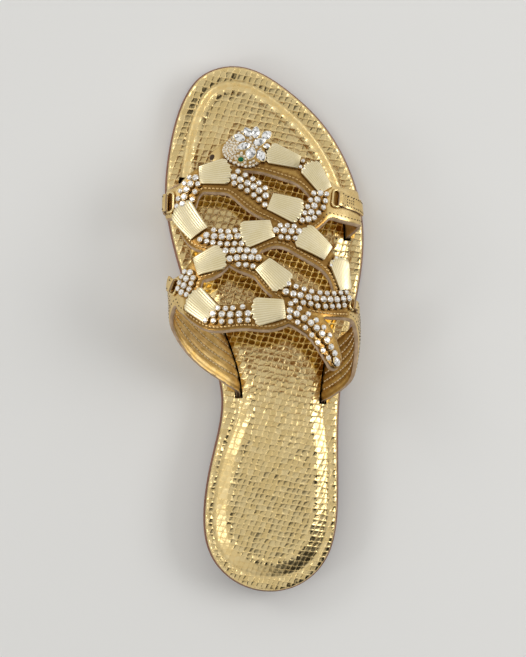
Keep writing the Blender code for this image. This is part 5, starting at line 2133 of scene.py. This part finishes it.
def head_eye(line):
    """A green stone in a gold collar."""
    at_run, at_across, radius = EYE
    place = line.places(at_run, at_across)
    lift = face_lift(line, at_run, at_across)
    run = on_last(line.places(at_run + 1, at_across)) - on_last(place)
    stretch = (radius * 1.08, radius * 0.92, radius)
    dome = ((1.0, -0.3), (1.0, 0.12), (0.92, 0.40), (0.74, 0.66), (0.48, 0.84), (0.2, 0.92))
    round_eye = turned_piece("round eye", dome, 28)
    collar = turned_piece("eye collar", ((1.16, -0.5), (1.2, 0.0), (1.12, 0.2), (1.0, 0.22)), 28)
    eye = scatter("eye_dressed", round_eye, place, lift + 0.35, run, stretch, EMERALD, crease=60.0)
    dress(eye, "eye_stone", "eye")
    setting = scatter("eye_setting", collar, place, lift + 0.30, run, stretch, BRIGHT_GOLD)
    dress(setting, "gold_wire")


def head():
    """The snake's head: a gold dome, petals of long stones, tiny stones between, an eye."""
    line = Line(HEAD_NOSE, HEAD_BACK)
    petals = np.array(PETALS, float)
    head_plate(line)
    head_petals(line, petals[:, :2], petals[:, 2:])
    head_pave(line, petals[:, :2], petals[:, 2:])
    # The tip hole: a dark disc, painted shade for the hole
    dot = turned_piece("tip hole", ((1.0, -0.3), (1.0, 0.0), (0.8, 0.08)), 14)
    hole = scatter("tip_hole", dot, [TIP_HOLE], 0.16, (0.45, 1, 0), (1.45, 1.05, 1.0), PIERCED)
    dress(hole, "gold_leather")
    head_eye(line)


def tail():
    """A pear stone ends the tail, in a close gold seat."""
    line = Line(TAIL_PEAR[2:], TAIL_PEAR[:2])
    place = line.places(line.length * 0.15, 0.0)
    run = on_last(TAIL_PEAR[:2]) - on_last(TAIL_PEAR[2:])
    pear = marquise_piece("pear stone", 0.45)
    lift = ORNAMENT_LIFT + 0.75
    gem = scatter("tail_pear", pear, place, lift + 0.6, run, (1.9, 1.9, 1.7), STONE, crease=5.0)
    seat = scatter("tail_pear_seat", pear, place, lift, run, (2.2, 2.2, 1.4), BRIGHT_GOLD)
    dress(gem, "set_stones", "tail_stone")
    dress(seat, "gold_wire")


# ---------------------------------------------------------------- build the shoe
outsole()
heel()
footbed()
grid_places, grid_value = fine_grid()
stitch_bead = stitch_piece()
edge_stitches(grid_places, grid_value, stitch_bead)
quarter_stitches(stitch_bead)
snap_to_edge(grid_places, grid_value)
upper(grid_places, grid_value)
fans()
stones()
loops_and_tabs(stitch_bead)
head()
tail()
for piece in SMALL_PIECES:
    bpy.data.objects.remove(piece)


# ---------------------------------------------------------------- floor, light and camera
def studio_floor():
    """A pale floor, 6 m each way."""
    half = 3.0
    mesh = bpy.data.meshes.new("studio floor")
    corners = [(-half, -half, 0), (half, -half, 0), (half, half, 0), (-half, half, 0)]
    mesh.from_pydata(corners, [], [(0, 1, 2, 3)])
    floor = linked("studio_floor", mesh)
    paint = Finish("pale floor", (0.85, 0.845, 0.825), roughness=0.85)
    mesh.materials.append(paint.material)


def softbox(name, place, size, power):
    """A rectangular light that faces the shoe."""
    light = bpy.data.lights.new(name, "AREA")
    light.shape = "RECTANGLE"
    light.size, light.size_y = size
    light.energy = power
    made = linked(name, light)
    made.location = place
    made.rotation_euler = (LIGHT_AIM - Vector(place)).to_track_quat("-Z", "Y").to_euler()


def sky(side, overhead, dark_spot):
    """A wide pale room, dimmer straight overhead, with one dark corner low behind the heel."""
    world = bpy.data.worlds.new("studio")
    bpy.context.scene.world = world
    world.use_nodes = True
    tree = NodeTree(world.node_tree)
    direction = tree.add("ShaderNodeTexCoord").outputs["Generated"]
    height = tree.add("ShaderNodeSeparateXYZ", None, {"Vector": direction}).outputs["Z"]
    limits = {"From Min": 0.60, "From Max": 0.97, "To Min": side, "To Max": overhead}
    smooth = {"interpolation_type": "SMOOTHSTEP"}
    room = tree.add("ShaderNodeMapRange", smooth, {"Value": height, **limits})
    ends = {0: direction, 1: Vector(dark_spot).normalized()}
    away = tree.add("ShaderNodeVectorMath", {"operation": "DISTANCE"}, ends).outputs["Value"]
    limits = {"From Min": 0.62, "From Max": 0.71, "To Min": 0.0}
    corner = tree.add("ShaderNodeMapRange", None, {"Value": away, **limits})
    backdrop = world.node_tree.nodes["Background"]
    tree.plug(backdrop.inputs["Color"], (1.0, 0.995, 0.98, 1))
    tree.plug(backdrop.inputs["Strength"], tree.value(room) * tree.value(corner))


CAMERA_PLACE = Vector((-0.0485, 0.0025, 1.215))
CAMERA_AIM = Vector((0.0, 0.0, 0.015))
LIGHT_AIM = Vector((0, 0, 0.02))
ROOM_LIGHT = 0.72
OVERHEAD_LIGHT = 0.645
DARK_CORNER = (0.60, -0.58, 0.55)
SOFTBOXES = (
    # name, place, size, power
    ("left softbox", (-1.10, -0.42, 0.86), (0.26, 0.30), 1.3),
    ("front left softbox", (-0.95, 0.66, 0.90), (0.42, 0.42), 2.3),
    ("right softbox", (1.15, 0.10, 0.85), (0.85, 0.55), 5.8),
    ("high right softbox", (0.95, 0.45, 1.35), (0.90, 0.90), 1.0),
)
FRAME_HEIGHT = 0.3114
SENSOR = 24.0


def camera():
    """Looks straight down on the shoe from a little to its medial side."""
    data = bpy.data.cameras.new("camera")
    data.sensor_fit = "VERTICAL"
    data.sensor_height = SENSOR
    data.lens = SENSOR * (CAMERA_PLACE - CAMERA_AIM).length / FRAME_HEIGHT
    data.clip_start = 0.05
    made = linked("camera", data)
    back = (CAMERA_PLACE - CAMERA_AIM).normalized()
    right = Vector((0, 1, 0)).cross(back).normalized()
    up = back.cross(right)
    turn = Matrix((right, up, back)).transposed().to_4x4()
    made.matrix_world = Matrix.Translation(CAMERA_PLACE) @ turn
    bpy.context.scene.camera = made


studio_floor()
for softbox_row in SOFTBOXES:
    softbox(*softbox_row)
sky(ROOM_LIGHT, OVERHEAD_LIGHT, DARK_CORNER)
camera()
bpy.context.scene.view_settings.view_transform = "Standard"
